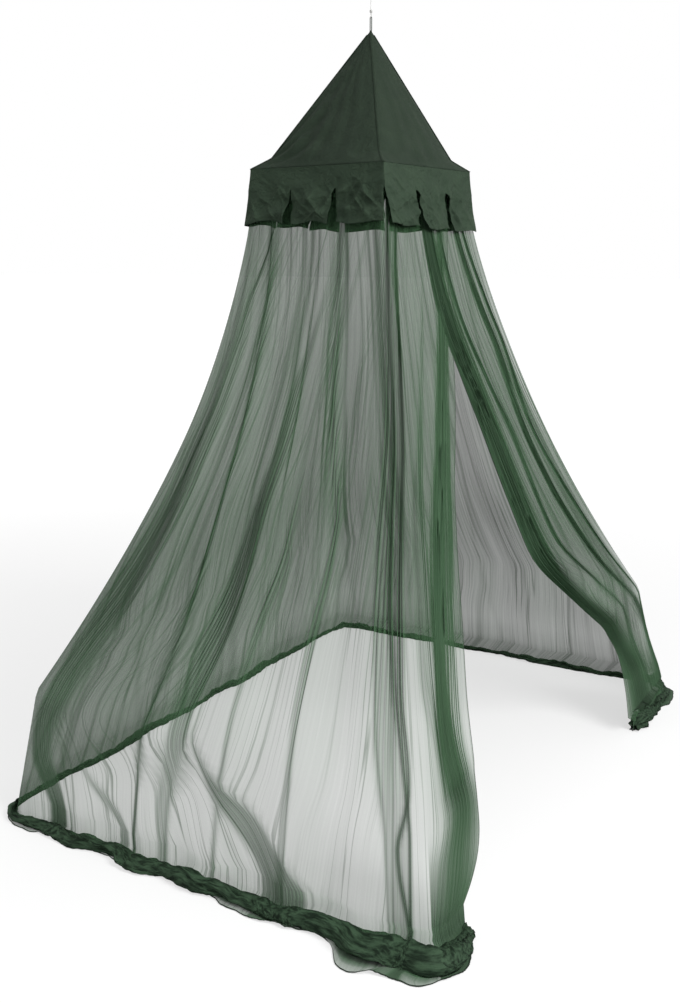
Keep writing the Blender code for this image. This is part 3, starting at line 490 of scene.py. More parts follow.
def mainWave(along, height):
    setup, shoulder, foot = mainFolds, drapeSetup["shoulderHead"], drapeSetup["shoulderFoot"]
    upper = easeIn((netTop - height) / (netTop - shoulder))
    depth = np.where(height > shoulder, setup["top"] + (setup["shoulder"] - setup["top"]) * upper,
                     setup["floor"] + (setup["shoulder"] - setup["floor"]) * height / shoulder)
    starts = sideStarts(height)
    drawn = easeIn((height - foot) / (netTop - foot))
    wave = 0 * along
    for index, (_, count, lean) in enumerate(setup["sides"]):
        share = np.clip(1 - (along - starts[index]) / (starts[index + 1] - starts[index]), 0, 1)
        across = share ** (1 / (1 + (lean - 1) * drawn))
        edge = np.minimum(1, 6 * np.minimum(across, 1 - across))
        wave = wave + edge * np.sin(2 * np.pi * count * across)
    return depth * wave


def gridMesh(name, columns, rows):
    # flat grid whose columns and rows are read back as whole numbers
    shape = bmesh.new()
    bmesh.ops.create_grid(shape, x_segments=columns, y_segments=rows, size=1.0)
    bmesh.ops.reverse_faces(shape, faces=shape.faces)
    mesh = bpy.data.meshes.new(name)
    shape.to_mesh(mesh)
    shape.free()
    flat = np.zeros(len(mesh.vertices) * 3)
    mesh.vertices.foreach_get("co", flat)
    flat = flat.reshape(-1, 3)
    column = np.rint((flat[:, 0] + 1) / 2 * columns).astype(int)
    row = np.rint((1 - flat[:, 1]) / 2 * rows).astype(int)
    return mesh, column, row


def paired(across, down):
    return np.stack(np.broadcast_arrays(across, down), -1)


def placeGrid(mesh, column, row, points, **maps):
    # points is [row][column][xyz]; each map is [row][column][uv]
    mesh.vertices.foreach_set("co", points[row, column].reshape(-1))
    corner = np.zeros(len(mesh.loops), int)
    mesh.loops.foreach_get("vertex_index", corner)
    for name, values in maps.items():
        layer = mesh.uv_layers.new(name=name)
        layer.data.foreach_set("uv", values[row, column][corner].reshape(-1))
    mesh.shade_smooth()
    mesh.update()


def netHeights():
    # rows of the netting, closer towards the floor where the folds run slantwise
    bottom = heapPath[0][1]
    return bottom + (netTop - bottom) * np.linspace(1, 0, drapeSetup["rows"]) ** drapeSetup["closer"]


def smoothed(values):
    # each row is drawn towards the rows before and after it
    padded = np.concatenate([values[:1], values, values[-1:]])
    return (padded[:-2] + 2 * padded[1:-1] + padded[2:]) / 4


def summed(steps):
    return np.concatenate([[0], np.cumsum(steps)])


def runLength(points):
    return summed(np.linalg.norm(np.diff(points, axis=0), axis=1))


def readRows(rows, heights, column):
    # smooth reading of (height, ...) rows, highest first
    table = np.array(rows)[::-1]
    values = np.interp(np.maximum(heights, heapPath[0][1]), table[:, 0], table[:, column])
    for _ in range(2):
        values[1:-1] = smoothed(values)[1:-1]
    return values


def streaks(material, heights, seed):
    # fine gathers: narrow strands of doubled threads that come and go down the net
    dice = np.random.default_rng(seed + 60)
    count = int(material[-1] * 24)
    total = np.zeros((len(heights), len(material)))
    for place, wide, strong, start in zip(
            dice.uniform(0, material[-1], count), dice.uniform(0.003, 0.012, count),
            dice.uniform(0.1, 0.75, count) ** 2, dice.uniform(0, 40, count)):
        drift = place + 0.012 * np.sin(heights * 2.1 + start)
        fade = np.clip(0.55 + 0.75 * np.sin(heights * 2.6 + start * 3), 0, 1)
        total += strong * fade[:, None] * np.exp(-((material[None, :] - drift[:, None]) / wide) ** 2)
    return total


# extra threads on the left and head sides by height: partly fuller cloth, partly painted shade inside the net
rearFullnessAndShadeSetup = {"corner": 0.12, "far": 0.08, "heights": (0.0, 0.3, 0.75, 2.08), "more": (1.6, 2.5, 3.4, 2.1)}


def fullnessAndPaintedShade(along, height):
    # the left side and the head side hang fuller than the foot and the door; part of their extra threads is
    # painted shade inside the net, which makes them darker and denser
    corner, far = sideStart("left", height), sideStart("door", height)
    rear = easeIn((along - corner) / rearFullnessAndShadeSetup["corner"] + 0.5) * easeIn((far - along) / rearFullnessAndShadeSetup["far"])
    return 1 + rear * np.interp(height, rearFullnessAndShadeSetup["heights"], rearFullnessAndShadeSetup["more"])


def foldCloth(fold, heights):
    _, cloth, sharp, rows = fold
    return cloth * readRows(rows, heights, 3) * (readRows(rows, heights, 2) if sharp > 2 else 1)


def spreadCloth(setup, folds, heights, low, high, span):
    # where each line of cloth hangs at each height: evenly, and gathered in the folds
    fade = np.interp(heights, fadeHeights, setup["fade"])
    amounts = [foldCloth(fold, heights) * fade for fold in folds]
    total = span + sum(float(np.mean(amount)) for amount in amounts)
    even = np.linspace(0, 1, setup["columns"] + 1)
    marks = total * np.interp(even, (0, setup["finer"][0], 1), (0, setup["finer"][1], 1))
    sense = setup.get("sense", 1)
    centres, halves = [], []
    for side, _, sharp, rows in folds:
        centres.append(sideStart(side, heights) + sense * readRows(rows, heights, 1))
        halves.append(np.maximum(readRows(rows, heights, 2), 0.005) * (0.5 if sharp > 2 else 0.544))
    along, share = np.zeros((len(heights), len(marks))), np.zeros(len(heights))
    for row in range(len(heights)):
        place = np.linspace(low[row], high[row], 4000)
        base = span / (high[row] - low[row])
        density = np.full(4000, base)
        for fold, amount, centre, half in zip(folds, amounts, centres, halves):
            bell = np.exp(-(np.abs(place - centre[row]) / half[row]) ** fold[2])
            density += base * amount[row] * bell / (half[row] * 1.8)
        cloth = summed((density[1:] + density[:-1]) / 2) * (place[1] - place[0])
        along[row] = np.interp(marks, cloth * total / cloth[-1], place)
        share[row] = cloth[-1] / total
    return marks, along, share


def rollHeap(setup, material, along, spread, out, levels):
    # the rows below the drape turn outwards and roll over themselves on the floor
    heap, path = heapSetup, np.array(heapPath)
    last, tucked = len(along) - len(path), path[heap["tuckedFrom"], 0]
    place = heap["pitch"] * along[last]
    size = np.interp(along[last], heap["places"], heap["sizes"])
    if "free" in setup:
        loose = material - material[0] if setup["free"] == "begin" else material[-1] - material
        size = size * (0.5 + 0.5 * easeIn(loose / heap["freeEnd"]))
    fat = size * waved(place, heap["fat"], 1)
    tuck = 0.4 + 0.6 * np.clip(waved(place, heap["tuck"], 0.3), 0, 1)
    tuck = tuck + 0.45 * np.exp(-((place - 0.15) / 0.3) ** 2)
    high = waved(place, heap["high"], size ** 0.9 * 0.95)
    for index in range(1, len(path)):
        row = last + index
        ramp = min(1.0, index / heap["turnedBy"])
        lean, steep = place - 0.060 * index, place + 0.030 * index  # creases run slantwise round the roll
        swell = 0.011 * wander(lean, 34, 9) + 0.003 * wander(steep, 36, 20) + 0.0016 * wander(lean, 37, 60)
        away = path[index, 0]
        if index > heap["tuckedFrom"]:
            away = tucked + (away - tucked) * tuck
        out[row] = out[last] * (1 - 0.6 * ramp) + away * fat + swell * ramp
        spread[row] = spread[last] + ramp * 0.010 * wander(lean, 38, 15)
        rise = path[index, 1] * high + waved(lean, heap["tip"]) * ramp
        levels[row] = np.maximum(rise, 0.0013 + 0.0008 * waved(lean, heap["floor"], 1))


def countThreads(threads, material, along, heights, seed):
    # layers of netting that the view passes, with the gathers that are finer than the mesh
    threads = smoothed(np.clip(threads, 0.9, 13.0).T).T
    for rows in (len(heights), 36, 36):
        threads[:rows] = smoothed(threads)[:rows]
    threads = threads * (1 + streaks(material, heights, seed))
    # more threads on the left and head sides: fuller cloth and painted shade inside the net
    threads = np.minimum(threads * fullnessAndPaintedShade(along, heights[:, None]), nettingSetup["most"])
    rolled = np.interp(np.arange(len(heapPath)), heapSetup["countRows"], heapSetup["counts"])
    threads[1 - len(heapPath):] += rolled[1:, None]
    return threads


# small waves by height, and the head side's foot that stands out at distances round the net
sheetSetup = {"waveHeights": (0.0, 0.35, 0.8), "waved": (0.1, 0.2, 1.0), "straightEnd": 0.03,
              "flareAt": (5.0, 5.35, 5.9), "flare": (0, 0.03, 0.03), "flareBelow": 0.42, "flareOver": 0.40}


def makeSheet(name, setup, folds, begin, end):
    # begin and end give the distance round the net at the sheet's two ends, for each height
    seed, wave, shape = setup["seed"], setup["wave"], sheetSetup
    heights = np.concatenate([netHeights(), np.full(len(heapPath) - 1, heapSetup["height"])])
    low, high = begin(heights), end(heights)
    span = float((high - low)[-1])
    material, along, share = spreadCloth(setup, folds, heights, low, high, span)
    pace = 2 * np.pi / wave * (1 + 0.35 * wander(material, seed, 60))
    phase = summed((pace[1:] + pace[:-1]) / 2 * np.diff(material))
    drop = (netTop - heights)[:, None]
    gather = np.interp(heights, gatherHeights, setup["gather"])
    taper = (gather * share * (high - low) / span)[:, None]
    pleated = np.interp(heights, shape["waveHeights"], shape["waved"])[:, None]
    step = np.gradient(material)[None, :]
    gathered = np.clip(taper * step / np.maximum(np.gradient(along, axis=1), 1e-5), 1.0, 9.0)
    limit = np.minimum(0.0025 + 0.030 * drop, setup["depth"] * np.clip(gathered - 0.6, 0.5, 1.6))
    vary = 0.65 + 0.45 * wander(material, seed + 7, 45)[None, :]
    bend = np.minimum(wave * taper / 4 * np.sqrt(1 - 1 / gathered ** 2), limit) * np.abs(vary) * pleated
    fromEnd = np.minimum(material - material[0], material[-1] - material)
    ends = np.minimum(1, fromEnd / shape["straightEnd"])[None, :]
    turn = phase[None, :] + 1.2 * wander(heights, seed + 11, 2.2)[:, None]
    tall = np.repeat(heights[:, None], len(material), 1)
    flare = np.interp(along, shape["flareAt"], shape["flare"])
    flare = flare * easeIn((shape["flareBelow"] - tall) / shape["flareOver"])
    out = (bend * np.cos(turn) + mainWave(along, tall)) * ends + flare
    slide = wave * taper / gathered * 0.10 * np.clip((gathered - 1.5) / 1.5, 0, 1) * ends * pleated
    spread, levels = along - slide * np.sin(2 * turn), tall.copy()
    rollHeap(setup, material, along, spread, out, levels)
    points = drapePoint(spread, tall, out)
    points[..., 2] = levels - ceiling
    points = hang(points)
    gap = np.maximum(np.abs(np.gradient(spread, axis=1)), 1e-5)
    threads = countThreads(taper * step / gap, material, along, heights, seed)
    mesh, column, row = gridMesh(name, len(material) - 1, len(heights) - 1)
    down = runLength(points.mean(axis=1))
    middle = (material[0] + material[-1]) / 2
    placeGrid(mesh, column, row, points, run=paired(material[None, :], down[:, None]),
              weave=paired((material[None, :] - middle) * taper, down[:, None]))
    field = mesh.attributes.new("threads", "FLOAT", "POINT")
    field.data.foreach_set("value", threads[row, column].astype(np.float32))
    area = sum(face.area for face in mesh.polygons)
    width = float(np.linalg.norm(np.diff(points, axis=1), axis=2).sum(axis=1).max())
    print(name, len(mesh.polygons), "faces, area", round(area, 2), "width", round(width, 2))
    return finishPiece(name, mesh, netting), points, (width, float(down[-1]), area)


def inMetres(rows):
    # heights, distances and widths are typed in millimetres; a row without a strength has 1
    return [tuple(value / 1000 for value in row[:3]) + (row[3:] or (1,)) for row in rows]


# Folds as cloth, sharpness and rows of height, distance from the side's first corner, width and strength.
# A soft gather (sharpness 2) takes its cloth in metres, a flat pleat takes its number of extra layers.
footFolds = (
    (1.1, 8, ((2080, -66, 60), (1400, 36, 79), (870, 92, 100), (500, 112, 105), (330, 104, 85),
        (30, 100, 65))),
    (0.06, 2, ((2080, -85, 8), (1410, 5, 12), (870, 56, 13), (630, 72, 13), (500, 55, 17), (420, 57, 13),
        (290, 110, 11), (190, 103, 13), (30, 68, 16))),
    (0.055, 2, ((2080, -30, 12), (1400, 39, 14), (1110, 72, 14), (870, 91, 14), (630, 92, 15),
        (490, 76, 18), (340, 61, 11), (30, 76, 12))),
    (0.014, 2, ((2080, -3, 6), (1400, 59, 7), (1100, 107, 6), (810, 135, 8), (530, 154, 8), (320, 140, 9),
        (30, 142, 6))),
    (1.3, 8, ((2080, 140, 30), (1920, 155, 26), (1690, 196, 23), (1450, 243, 24), (1210, 273, 20),
        (1070, 257, 15), (900, 296, 17), (780, 339, 20), (550, 406, 23), (290, 463, 24), (30, 500, 26))),
    (0.014, 2, ((2080, 150, 5), (1920, 160, 5), (1690, 196, 6), (1480, 244, 7), (1190, 265, 7),
        (1070, 254, 6), (910, 287, 5), (780, 330, 6), (450, 426, 6), (30, 487, 5))),
    (2.0, 8, ((2080, 200, 20, 0), (1730, 220, 20, 0.3), (1440, 377, 33, 0.8), (1200, 464, 49),
        (960, 578, 74), (810, 640, 88), (700, 701, 92), (600, 764, 85), (480, 828, 56), (360, 866, 55),
        (210, 910, 40, 0.6), (30, 931, 23, 0.3))),
    (0.02, 2, ((2080, 400, 10, 0), (1310, 528, 10, 0), (970, 541, 8, 0.6), (800, 609, 12), (610, 716, 12),
        (490, 802, 12), (370, 833, 11), (220, 892, 13), (30, 916, 10))),
    (1.6, 8, ((2080, 200, 8, 0), (1690, 217, 8, 0), (1090, 412, 19, 0.5), (980, 439, 29), (920, 456, 38),
        (760, 530, 27), (620, 587, 18), (500, 637, 14), (270, 695, 15), (30, 730, 15))),
    (0.06, 2, ((2080, 430, 5, 0.5), (1720, 459, 6, 0.5), (1430, 548, 8, 0.7), (1110, 664, 8),
        (900, 742, 8), (730, 804, 10), (540, 905, 12), (380, 990, 12), (260, 1003, 12), (30, 1038, 11))),
    (0.006, 2, ((2080, 420, 4), (1680, 468, 4), (1240, 485, 6, 0.5), (1080, 488, 6, 0), (30, 490, 6, 0))),
    (0.022, 2, ((2080, 380, 5), (1900, 430, 5), (1680, 550, 7), (1490, 609, 8), (1240, 729, 10),
        (1060, 809, 12), (920, 904, 9), (740, 1038, 12), (620, 1148, 12), (530, 1211, 8), (430, 1266, 9),
        (300, 1332, 9), (190, 1328, 9), (30, 1273, 9))),
    (2.4, 6, ((2080, 530, 20, 0.5), (1820, 530, 30, 0.5), (1620, 598, 50, 0.5), (1460, 662, 65, 0.5),
        (1310, 732, 80, 0.6), (1230, 785, 90, 0.7), (1050, 871, 100, 0.8), (920, 968, 105, 0.9),
        (740, 1101, 110), (610, 1216, 105, 1.1), (430, 1342, 100, 1.3), (330, 1404, 90, 1.5),
        (230, 1424, 80, 1.6), (160, 1391, 75, 1.7), (30, 1330, 75, 1.7))),
    (2.6, 10, ((410, 810, 10, 0), (385, 800, 10, 0.5), (340, 746, 37), (250, 636, 102), (190, 579, 117),
        (100, 493, 140), (30, 440, 170))),
    (0.006, 2, ((410, 810, 5, 0), (390, 807, 6), (250, 696, 8), (30, 520, 7))),
    (0.008, 2, ((410, 810, 5, 0), (390, 800, 6), (260, 587, 7), (160, 468, 7), (30, 330, 7))),
    (1.4, 8, ((370, 1300, 9, 0), (330, 1295, 8, 0.4), (240, 1223, 20), (140, 1135, 40), (30, 1019, 35))),
)
nearFolds = (
    (1.0, 8, ((2080, 248, 8, 0.3), (1690, 194, 12, 0.5), (1400, 106, 30, 0.8), (1200, 45, 50),
        (1090, 31, 66), (970, 41, 80), (870, 51, 88), (750, 36, 80), (640, 30, 58), (540, 56, 34),
        (460, 74, 32, 0.6), (330, 116, 33, 0), (30, 120, 30, 0))),
    (0.42, 2, ((2080, 340, 30, 0.15), (1910, 336, 30, 0.18), (1600, 295, 32, 0.28), (1380, 229, 40, 0.42),
        (1180, 181, 45, 0.6), (1040, 145, 50, 0.7), (850, 115, 43, 0.6), (660, 99, 46, 0.8),
        (570, 100, 70, 1.3), (490, 120, 94, 2), (400, 161, 140, 2.8), (340, 200, 150, 3.2),
        (280, 185, 190, 3.6), (240, 160, 230, 4), (150, 130, 250, 4.4), (30, 80, 220, 5))),
    (1.3, 8, ((1840, 330, 30, 0.5), (1600, 328, 44), (1380, 255, 60), (1180, 219, 90), (1030, 210, 105),
        (840, 177, 80), (650, 159, 95), (550, 168, 90), (430, 202, 79, 0.6), (310, 233, 43, 0))),
)
nearEdge = inMetres(((2080, 395), (1910, 383), (1430, 352), (1140, 283), (920, 270), (770, 271),
    (570, 260), (430, 274), (320, 291), (230, 300), (164, 280), (110, 225), (80, 170), (30, 140)))
splitLine = inMetres(((2080, 130), (1900, 105), (1700, 60), (1460, 8), (1300, 0)))
# Distances from the near corner along the door side
farFolds = (
    (0.8, 2, ((2080, 235, 50, 0.6), (1900, 245, 50), (1620, 336, 90), (1360, 500, 100), (1050, 720, 110),
        (810, 900, 120), (640, 1130, 150), (440, 1530, 190, 1.6), (220, 1800, 220, 3),
        (30, 1860, 240, 3.6))),
    (0.07, 2, ((2080, 310, 8), (1620, 440, 10), (1210, 780, 14), (810, 1090, 20), (500, 1660, 20),
        (30, 2030, 20))),
    (0.13, 2, ((2080, 380, 16), (1900, 445, 18), (1680, 570, 22), (1520, 700, 24), (1210, 880, 26),
        (950, 1130, 28), (680, 1480, 30), (500, 1800, 40), (400, 1950, 80, 2.5), (300, 2060, 120, 6),
        (30, 2140, 200, 10))),
    (0.05, 2, ((2080, 420, 6), (1520, 760, 8), (1210, 950, 9), (950, 1250, 10), (680, 1600, 10),
        (500, 1880, 10), (30, 2150, 12))),
)
farEdge = inMetres(((2080, 200), (1920, 219), (1620, 285), (1360, 445), (1050, 660), (810, 835),
    (760, 905), (660, 1090), (570, 1250), (500, 1380), (430, 1510), (340, 1610), (260, 1645), (170, 1655),
    (30, 1650)))


def typedFolds(side, folds):
    return [(side, cloth, sharp, inMetres(rows)) for cloth, sharp, rows in folds]


def randomFolds(side, count, seed):
    # the sides that the front view doesn't show, in the same manner
    dice = np.random.default_rng(seed)
    places = np.linspace(0.05, 0.95, count) + dice.uniform(-0.03, 0.03, count)
    folds = []
    for place in places:
        wide = dice.choice([0.006, 0.009, 0.02, 0.035, 0.05])
        drift = dice.uniform(-0.03, 0.03, 5)
        rows = []
        for height, shift in zip((2.08, 1.5, 1.0, 0.5, 0.03), drift):
            front, back, _, wideBack = sideLengths(np.array(height))
            full = float(front + back) if side == "left" else float(2 * wideBack)
            grow = 0.45 + 0.55 * (2.08 - height) / 2.05
            distance = full * np.clip(place + shift, 0.02, 0.98)
            rows.append((height, distance, wide * grow, 0.2 + 0.35 * height))
        folds.append((side, float(dice.uniform(0.4, 0.9)) + 0.05 / (wide * 100), 4, tuple(rows)))
    return folds


def doorSpan(heights):
    front, back, _, _ = sideLengths(heights)
    return front + back


def roundSpan(heights):
    return sideStart("door", heights)


def splitAt(heights):
    return -readRows(splitLine, heights, 1)


def nearEdgeAt(heights):
    return -readRows(nearEdge, heights, 1)


def farEdgeAt(heights):
    return roundSpan(heights) + doorSpan(heights) - readRows(farEdge, heights, 1)


fadeHeights, gatherHeights = (0.0, 0.5, 1.2, 2.08), (0.05, 0.11, 0.2, 0.5, 1.2, 2.08)
skirtSetup = {"columns": 1180, "finer": (0.56, 0.38), "seed": 3, "wave": 0.040, "depth": 0.010,
              "gather": (1.8, 1.25, 1.0, 1.0, 1.0, 0.9), "fade": (1.0, 1.0, 1.0, 1.0)}
nearSetup = {"columns": 260, "finer": (0.5, 0.5), "seed": 41, "wave": 0.036, "depth": 0.009, "sense": -1,
             "gather": (1.6, 1.2, 1.0, 1.0, 1.1, 1.0), "fade": (1.0, 1.0, 1.0, 1.0), "free": "begin"}
farSetup = {"columns": 640, "finer": (0.5, 0.5), "seed": 77, "wave": 0.042, "depth": 0.011,
            "gather": (1.6, 1.2, 1.0, 1.0, 1.4, 1.35), "fade": (1.0, 1.0, 1.0, 0.7), "free": "end"}

skirtRows = typedFolds("foot", footFolds) + randomFolds("left", 12, 5) + randomFolds("head", 9, 8)
skirt, skirtPoints, skirtSize = makeSheet("netSkirt", skirtSetup, skirtRows, splitAt, roundSpan)
nearRows = typedFolds("foot", nearFolds)
nearNet, nearPoints, nearSize = makeSheet("netNearDoor", nearSetup, nearRows, nearEdgeAt, splitAt)
farRows = []
for side, amount, sharp, rows in reversed(typedFolds("door", farFolds)):
    turned = [(height, float(doorSpan(np.array(height))) - distance, wide, strength)
              for height, distance, wide, strength in rows]
    farRows.append((side, amount, sharp, turned))
farNet, farPoints, farSize = makeSheet("netFarDoor", farSetup, farRows, roundSpan, farEdgeAt)

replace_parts(skirt, "net_foot", "net_left", "net_head")
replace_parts(nearNet, "net_near_flap", "near_curtain_net")
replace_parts(farNet, "net_far_flap", "far_curtain_net")
print("netting ready")

# Bindings: a tape folded over an edge of a sheet; its section as shares of width and thickness
bindingSetup = {"width": 0.004, "edge": 0.0006, "hem": 0.0007, "clear": 0.0004, "section": (
    (1.0, 1.0), (0.5, 1.15), (0.0, 1.1), (-0.12, 0.0), (0.0, -1.1), (0.5, -1.15), (1.0, -1.0))}


def makeBinding(name, edge, inner, setup, thickness, material, *nodesReplaced):
    # edge is a row of points along the sheet's edge, inner one a little way in
    width, section = setup["width"], setup["section"]
    into = inner - edge
    outward = np.cross(np.gradient(edge, axis=0), into)
    outward /= np.maximum(np.linalg.norm(outward, axis=1), 1e-9)[:, None]
    into /= np.maximum(np.linalg.norm(into, axis=1), 1e-6)[:, None]
    points = np.array([edge + into * width * deep + outward * thickness * side for deep, side in section])
    points[..., 2] = np.maximum(points[..., 2], -ceiling + setup["clear"])
    mesh, column, row = gridMesh(name, len(edge) - 1, len(section) - 1)
    around = (np.arange(len(section)) * width / 3)[:, None]
    placeGrid(mesh, column, row, points, run=paired(runLength(edge)[None, :], around))
    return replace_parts(finishPiece(name, mesh, material), *nodesReplaced)


nearBinding = makeBinding("nearDoorBinding", nearPoints[:, 0], nearPoints[:, 3], bindingSetup,
                          bindingSetup["edge"], edgeCloth, "near_edge_binding")
farBinding = makeBinding("farDoorBinding", farPoints[:, -1], farPoints[:, -4], bindingSetup,
                         bindingSetup["edge"], edgeCloth, "far_edge_binding")
skirtHem, nearHem, farHem = [
    makeBinding(name, points[-1], points[-2], bindingSetup, bindingSetup["hem"], hemCloth,
                *["hem_binding_" + part for part in parts])
    for name, points, parts in (("skirtHem", skirtPoints, ("foot", "left", "head")),
                                ("nearDoorHem", nearPoints, ("near_flap",)),
                                ("farDoorHem", farPoints, ("far_flap",)))]

# The door sheets are baked in place; the skirt and its hem join the net's body
for piece in (nearNet, nearBinding, nearHem):
    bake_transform(piece)
for piece in (farNet, farBinding, farHem):
    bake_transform(piece)
for piece in (skirt, skirtHem):
    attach(piece, "net")

smallWaves = 0.95  # share of a sheet's area without its small waves
for piece, (width, length, area), trims in ((skirt, skirtSize, [skirtHem]),
                                            (nearNet, nearSize, [nearBinding, nearHem]),
                                            (farNet, farSize, [farBinding, farHem])):
    round(min(area * smallWaves, width * length), 2)
print("bindings ready")

# Roof: one cloth over the peak and the frame, with a knee in each ridge
roofSetup = {"edge": 0.2666, "knee": 0.070, "kneeRise": 0.036, "cells": 150, "slope": 0.52, "sharp": 32,
             "thickness": 0.0009, "flat": (1.05, 1.05)}


def addWall(piece, name, thickness, offset):
    wall = piece.modifiers.new(name, "SOLIDIFY")
    wall.thickness, wall.offset = thickness, offset


def roofPoint(setup, x, y, lift=0.0):
    # x and y run from -1 to 1 over the roof's plan
    edge, height = setup["edge"], apex - eave
    share = np.maximum(np.abs(x), np.abs(y))
    across = np.where(share > 1e-6, np.minimum(np.abs(x), np.abs(y)) / np.maximum(share, 1e-6), 0)
    kneeOut = 1 - setup["knee"] / (edge * math.sqrt(2))
    kneeDown = 1 - setup["kneeRise"] / height
    corner = np.where(share < kneeDown, kneeOut * share / kneeDown,
                      kneeOut + (1 - kneeOut) * (share - kneeDown) / (1 - kneeDown))
    out = edge * (share + (corner - share) * across ** 3)
    half = edge * corner * across
    onX = np.abs(x) >= np.abs(y)
    slope = math.hypot(height, edge)
    away = lift * height / slope
    side = away * across ** 8
    px = np.sign(x) * np.where(onX, out, half) + np.where(onX, np.sign(x) * away, np.sign(x) * side)
    py = np.sign(y) * np.where(onX, half, out) + np.where(onX, np.sign(y) * side, np.sign(y) * away)
    pz = apex - ceiling - share * height + lift * edge / slope
    return np.stack([px, py, pz], -1), share, across, onX


def crumple(x, y, dice, count):
    # creased cloth: ridges of different directions laid over each other
    total = 0 * x
    for _ in range(count):
        way, pace, start = dice.uniform(0, math.pi), dice.uniform(2.0, 6.5), dice.uniform(0, 6.28)
        ridge = np.abs(np.sin(pace * (x * math.cos(way) + y * math.sin(way)) + start))
        total = total + (0.55 - ridge) / count ** 0.5
    return total


def roofWrinkles(x, y, share, across, onX):
    # diagonal pulls from the left corner over the foot side, fainter ones elsewhere
    calm = (1 - across ** 6) * easeIn(share / 0.15) * easeIn((1 - share) / 0.08)
    angle, reach = np.arctan2(y + 1.0, x + 1.15), np.hypot(x + 1.15, y + 1.0)
    pulls = np.sin(angle * 34 + 2 * np.sin(reach * 5)) * easeIn(1.3 - reach * 0.75) * 0.0055
    hangs = np.sin(np.arctan2(x, -y) * 18 + 1.3 * np.sin(share * 7)) * 0.0030 * share
    fine = crumple(x * 1.6 + 3, y * 1.6, np.random.default_rng(9), 7) * 0.0060
    return calm * (np.where((~onX) & (y < 0), pulls + hangs, hangs * 0.8) + fine * share)


def makeRoof(setup):
    cells = setup["cells"]
    mesh, column, row = gridMesh("roofCloth", cells, cells)
    xs, ys = np.meshgrid(np.linspace(-1, 1, cells + 1), np.linspace(1, -1, cells + 1))
    points, share, across, onX = roofPoint(setup, xs, ys)
    points = hang(roofPoint(setup, xs, ys, roofWrinkles(xs, ys, share, across, onX))[0])
    along = np.where(onX, points[..., 1], points[..., 0])
    placeGrid(mesh, column, row, points, run=paired(along, share * setup["slope"]))
    mesh.flip_normals()
    mesh.set_sharp_from_angle(angle=math.radians(setup["sharp"]))
    piece = finishPiece("roofCloth", mesh, canopyCloth, "net")
    addWall(piece, "cloth", setup["thickness"], -1)
    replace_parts(piece, "roof_panel_foot", "roof_panel_door", "roof_panel_head", "roof_panel_left")


makeRoof(roofSetup)

# Felled seams over the ridges, with two rows of stitches
seamSetup = {"wing": 0.0058, "rise": 0.0012, "rows": 90, "stitch": 0.0003, "stitches": 260,
             "stitchedAt": 0.55, "thickness": 0.0006}


def makeSeam(corner, signX, signY, setup):
    name = "ridgeSeam_" + corner
    side = np.linspace(-1, 1, 9)[None, :]
    share = np.linspace(0.035, 1.0, setup["rows"] + 1)[:, None]
    depth = setup["wing"] / roofSetup["edge"]
    x = signX * np.where(side < 0, np.maximum(share + side * depth, 0), share)
    y = signY * np.where(side > 0, np.maximum(share - side * depth, 0), share)
    stitched = np.abs(np.abs(side) - setup["stitchedAt"]) < 0.15
    crown = setup["rise"] * (1 - 0.25 * np.abs(side) ** 4)
    crown = crown + setup["stitch"] * np.sin(share * setup["stitches"]) * stitched
    mesh, column, row = gridMesh(name, side.size - 1, setup["rows"])
    points = hang(roofPoint(roofSetup, x, y, crown)[0])
    placeGrid(mesh, column, row, points, run=paired(side * 0.006, share * 0.55))
    if signX * signY > 0:
        mesh.flip_normals()
    piece = finishPiece(name, mesh, canopyCloth, "net")
    addWall(piece, "tape", setup["thickness"], -1)
    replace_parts(piece, "ridge_seam_" + corner)


for corner, signX, signY in (("near", 1, -1), ("far", 1, 1), ("back", -1, 1), ("left", -1, -1)):
    makeSeam(corner, signX, signY, seamSetup)
print("roof ready")

# Valance: four sides, each slit into three flaps that crumple, curl and part
valanceSetup = {
    "out": 0.2656, "top": 2.1053, "drop": 0.200, "flare": 0.032, "slit": 0.078, "columns": 210, "rows": 62,
    "hem": 4, "turnUp": 0.010, "pulls": 10, "shoulder": 0.46, "clear": 0.007, "thickness": 0.0008,
    "flat": (0.60, 0.22)}
# half gaps at the hem by the corner, the two slits and the next corner; curls of each flap's two edges,
# tilt of each flap and rise of the hem's two ends, all in millimetres
flapSetup = {
    "foot": {"seed": 3, "gaps": (2, 13, 14, 4), "curls": (-6, 12, -5, 10, -7, 6), "tilt": (8, 3, 0),
             "short": (22, 22)},
    "door": {"seed": 19, "gaps": (17, 7, 5, 2), "curls": (9, -6, 8, -5, 7, -4), "tilt": (2, -2, 0),
             "short": (16, 0)},
    "head": {"seed": 29, "gaps": (3, 6, 8, 5), "curls": (-5, 8, 6, -6, -5, 9), "tilt": (4, 0, 5),
             "short": (4, 10)},
    "left": {"seed": 37, "gaps": (5, 7, 5, 4), "curls": (7, -6, -5, 10, 8, -6), "tilt": (0, 6, 2),
             "short": (12, 20)}}
valanceWays = {"foot": ((0, -1), (1, 0)), "door": ((1, 0), (0, 1)), "head": ((0, 1), (-1, 0)),
               "left": ((-1, 0), (0, -1))}  # outwards and along


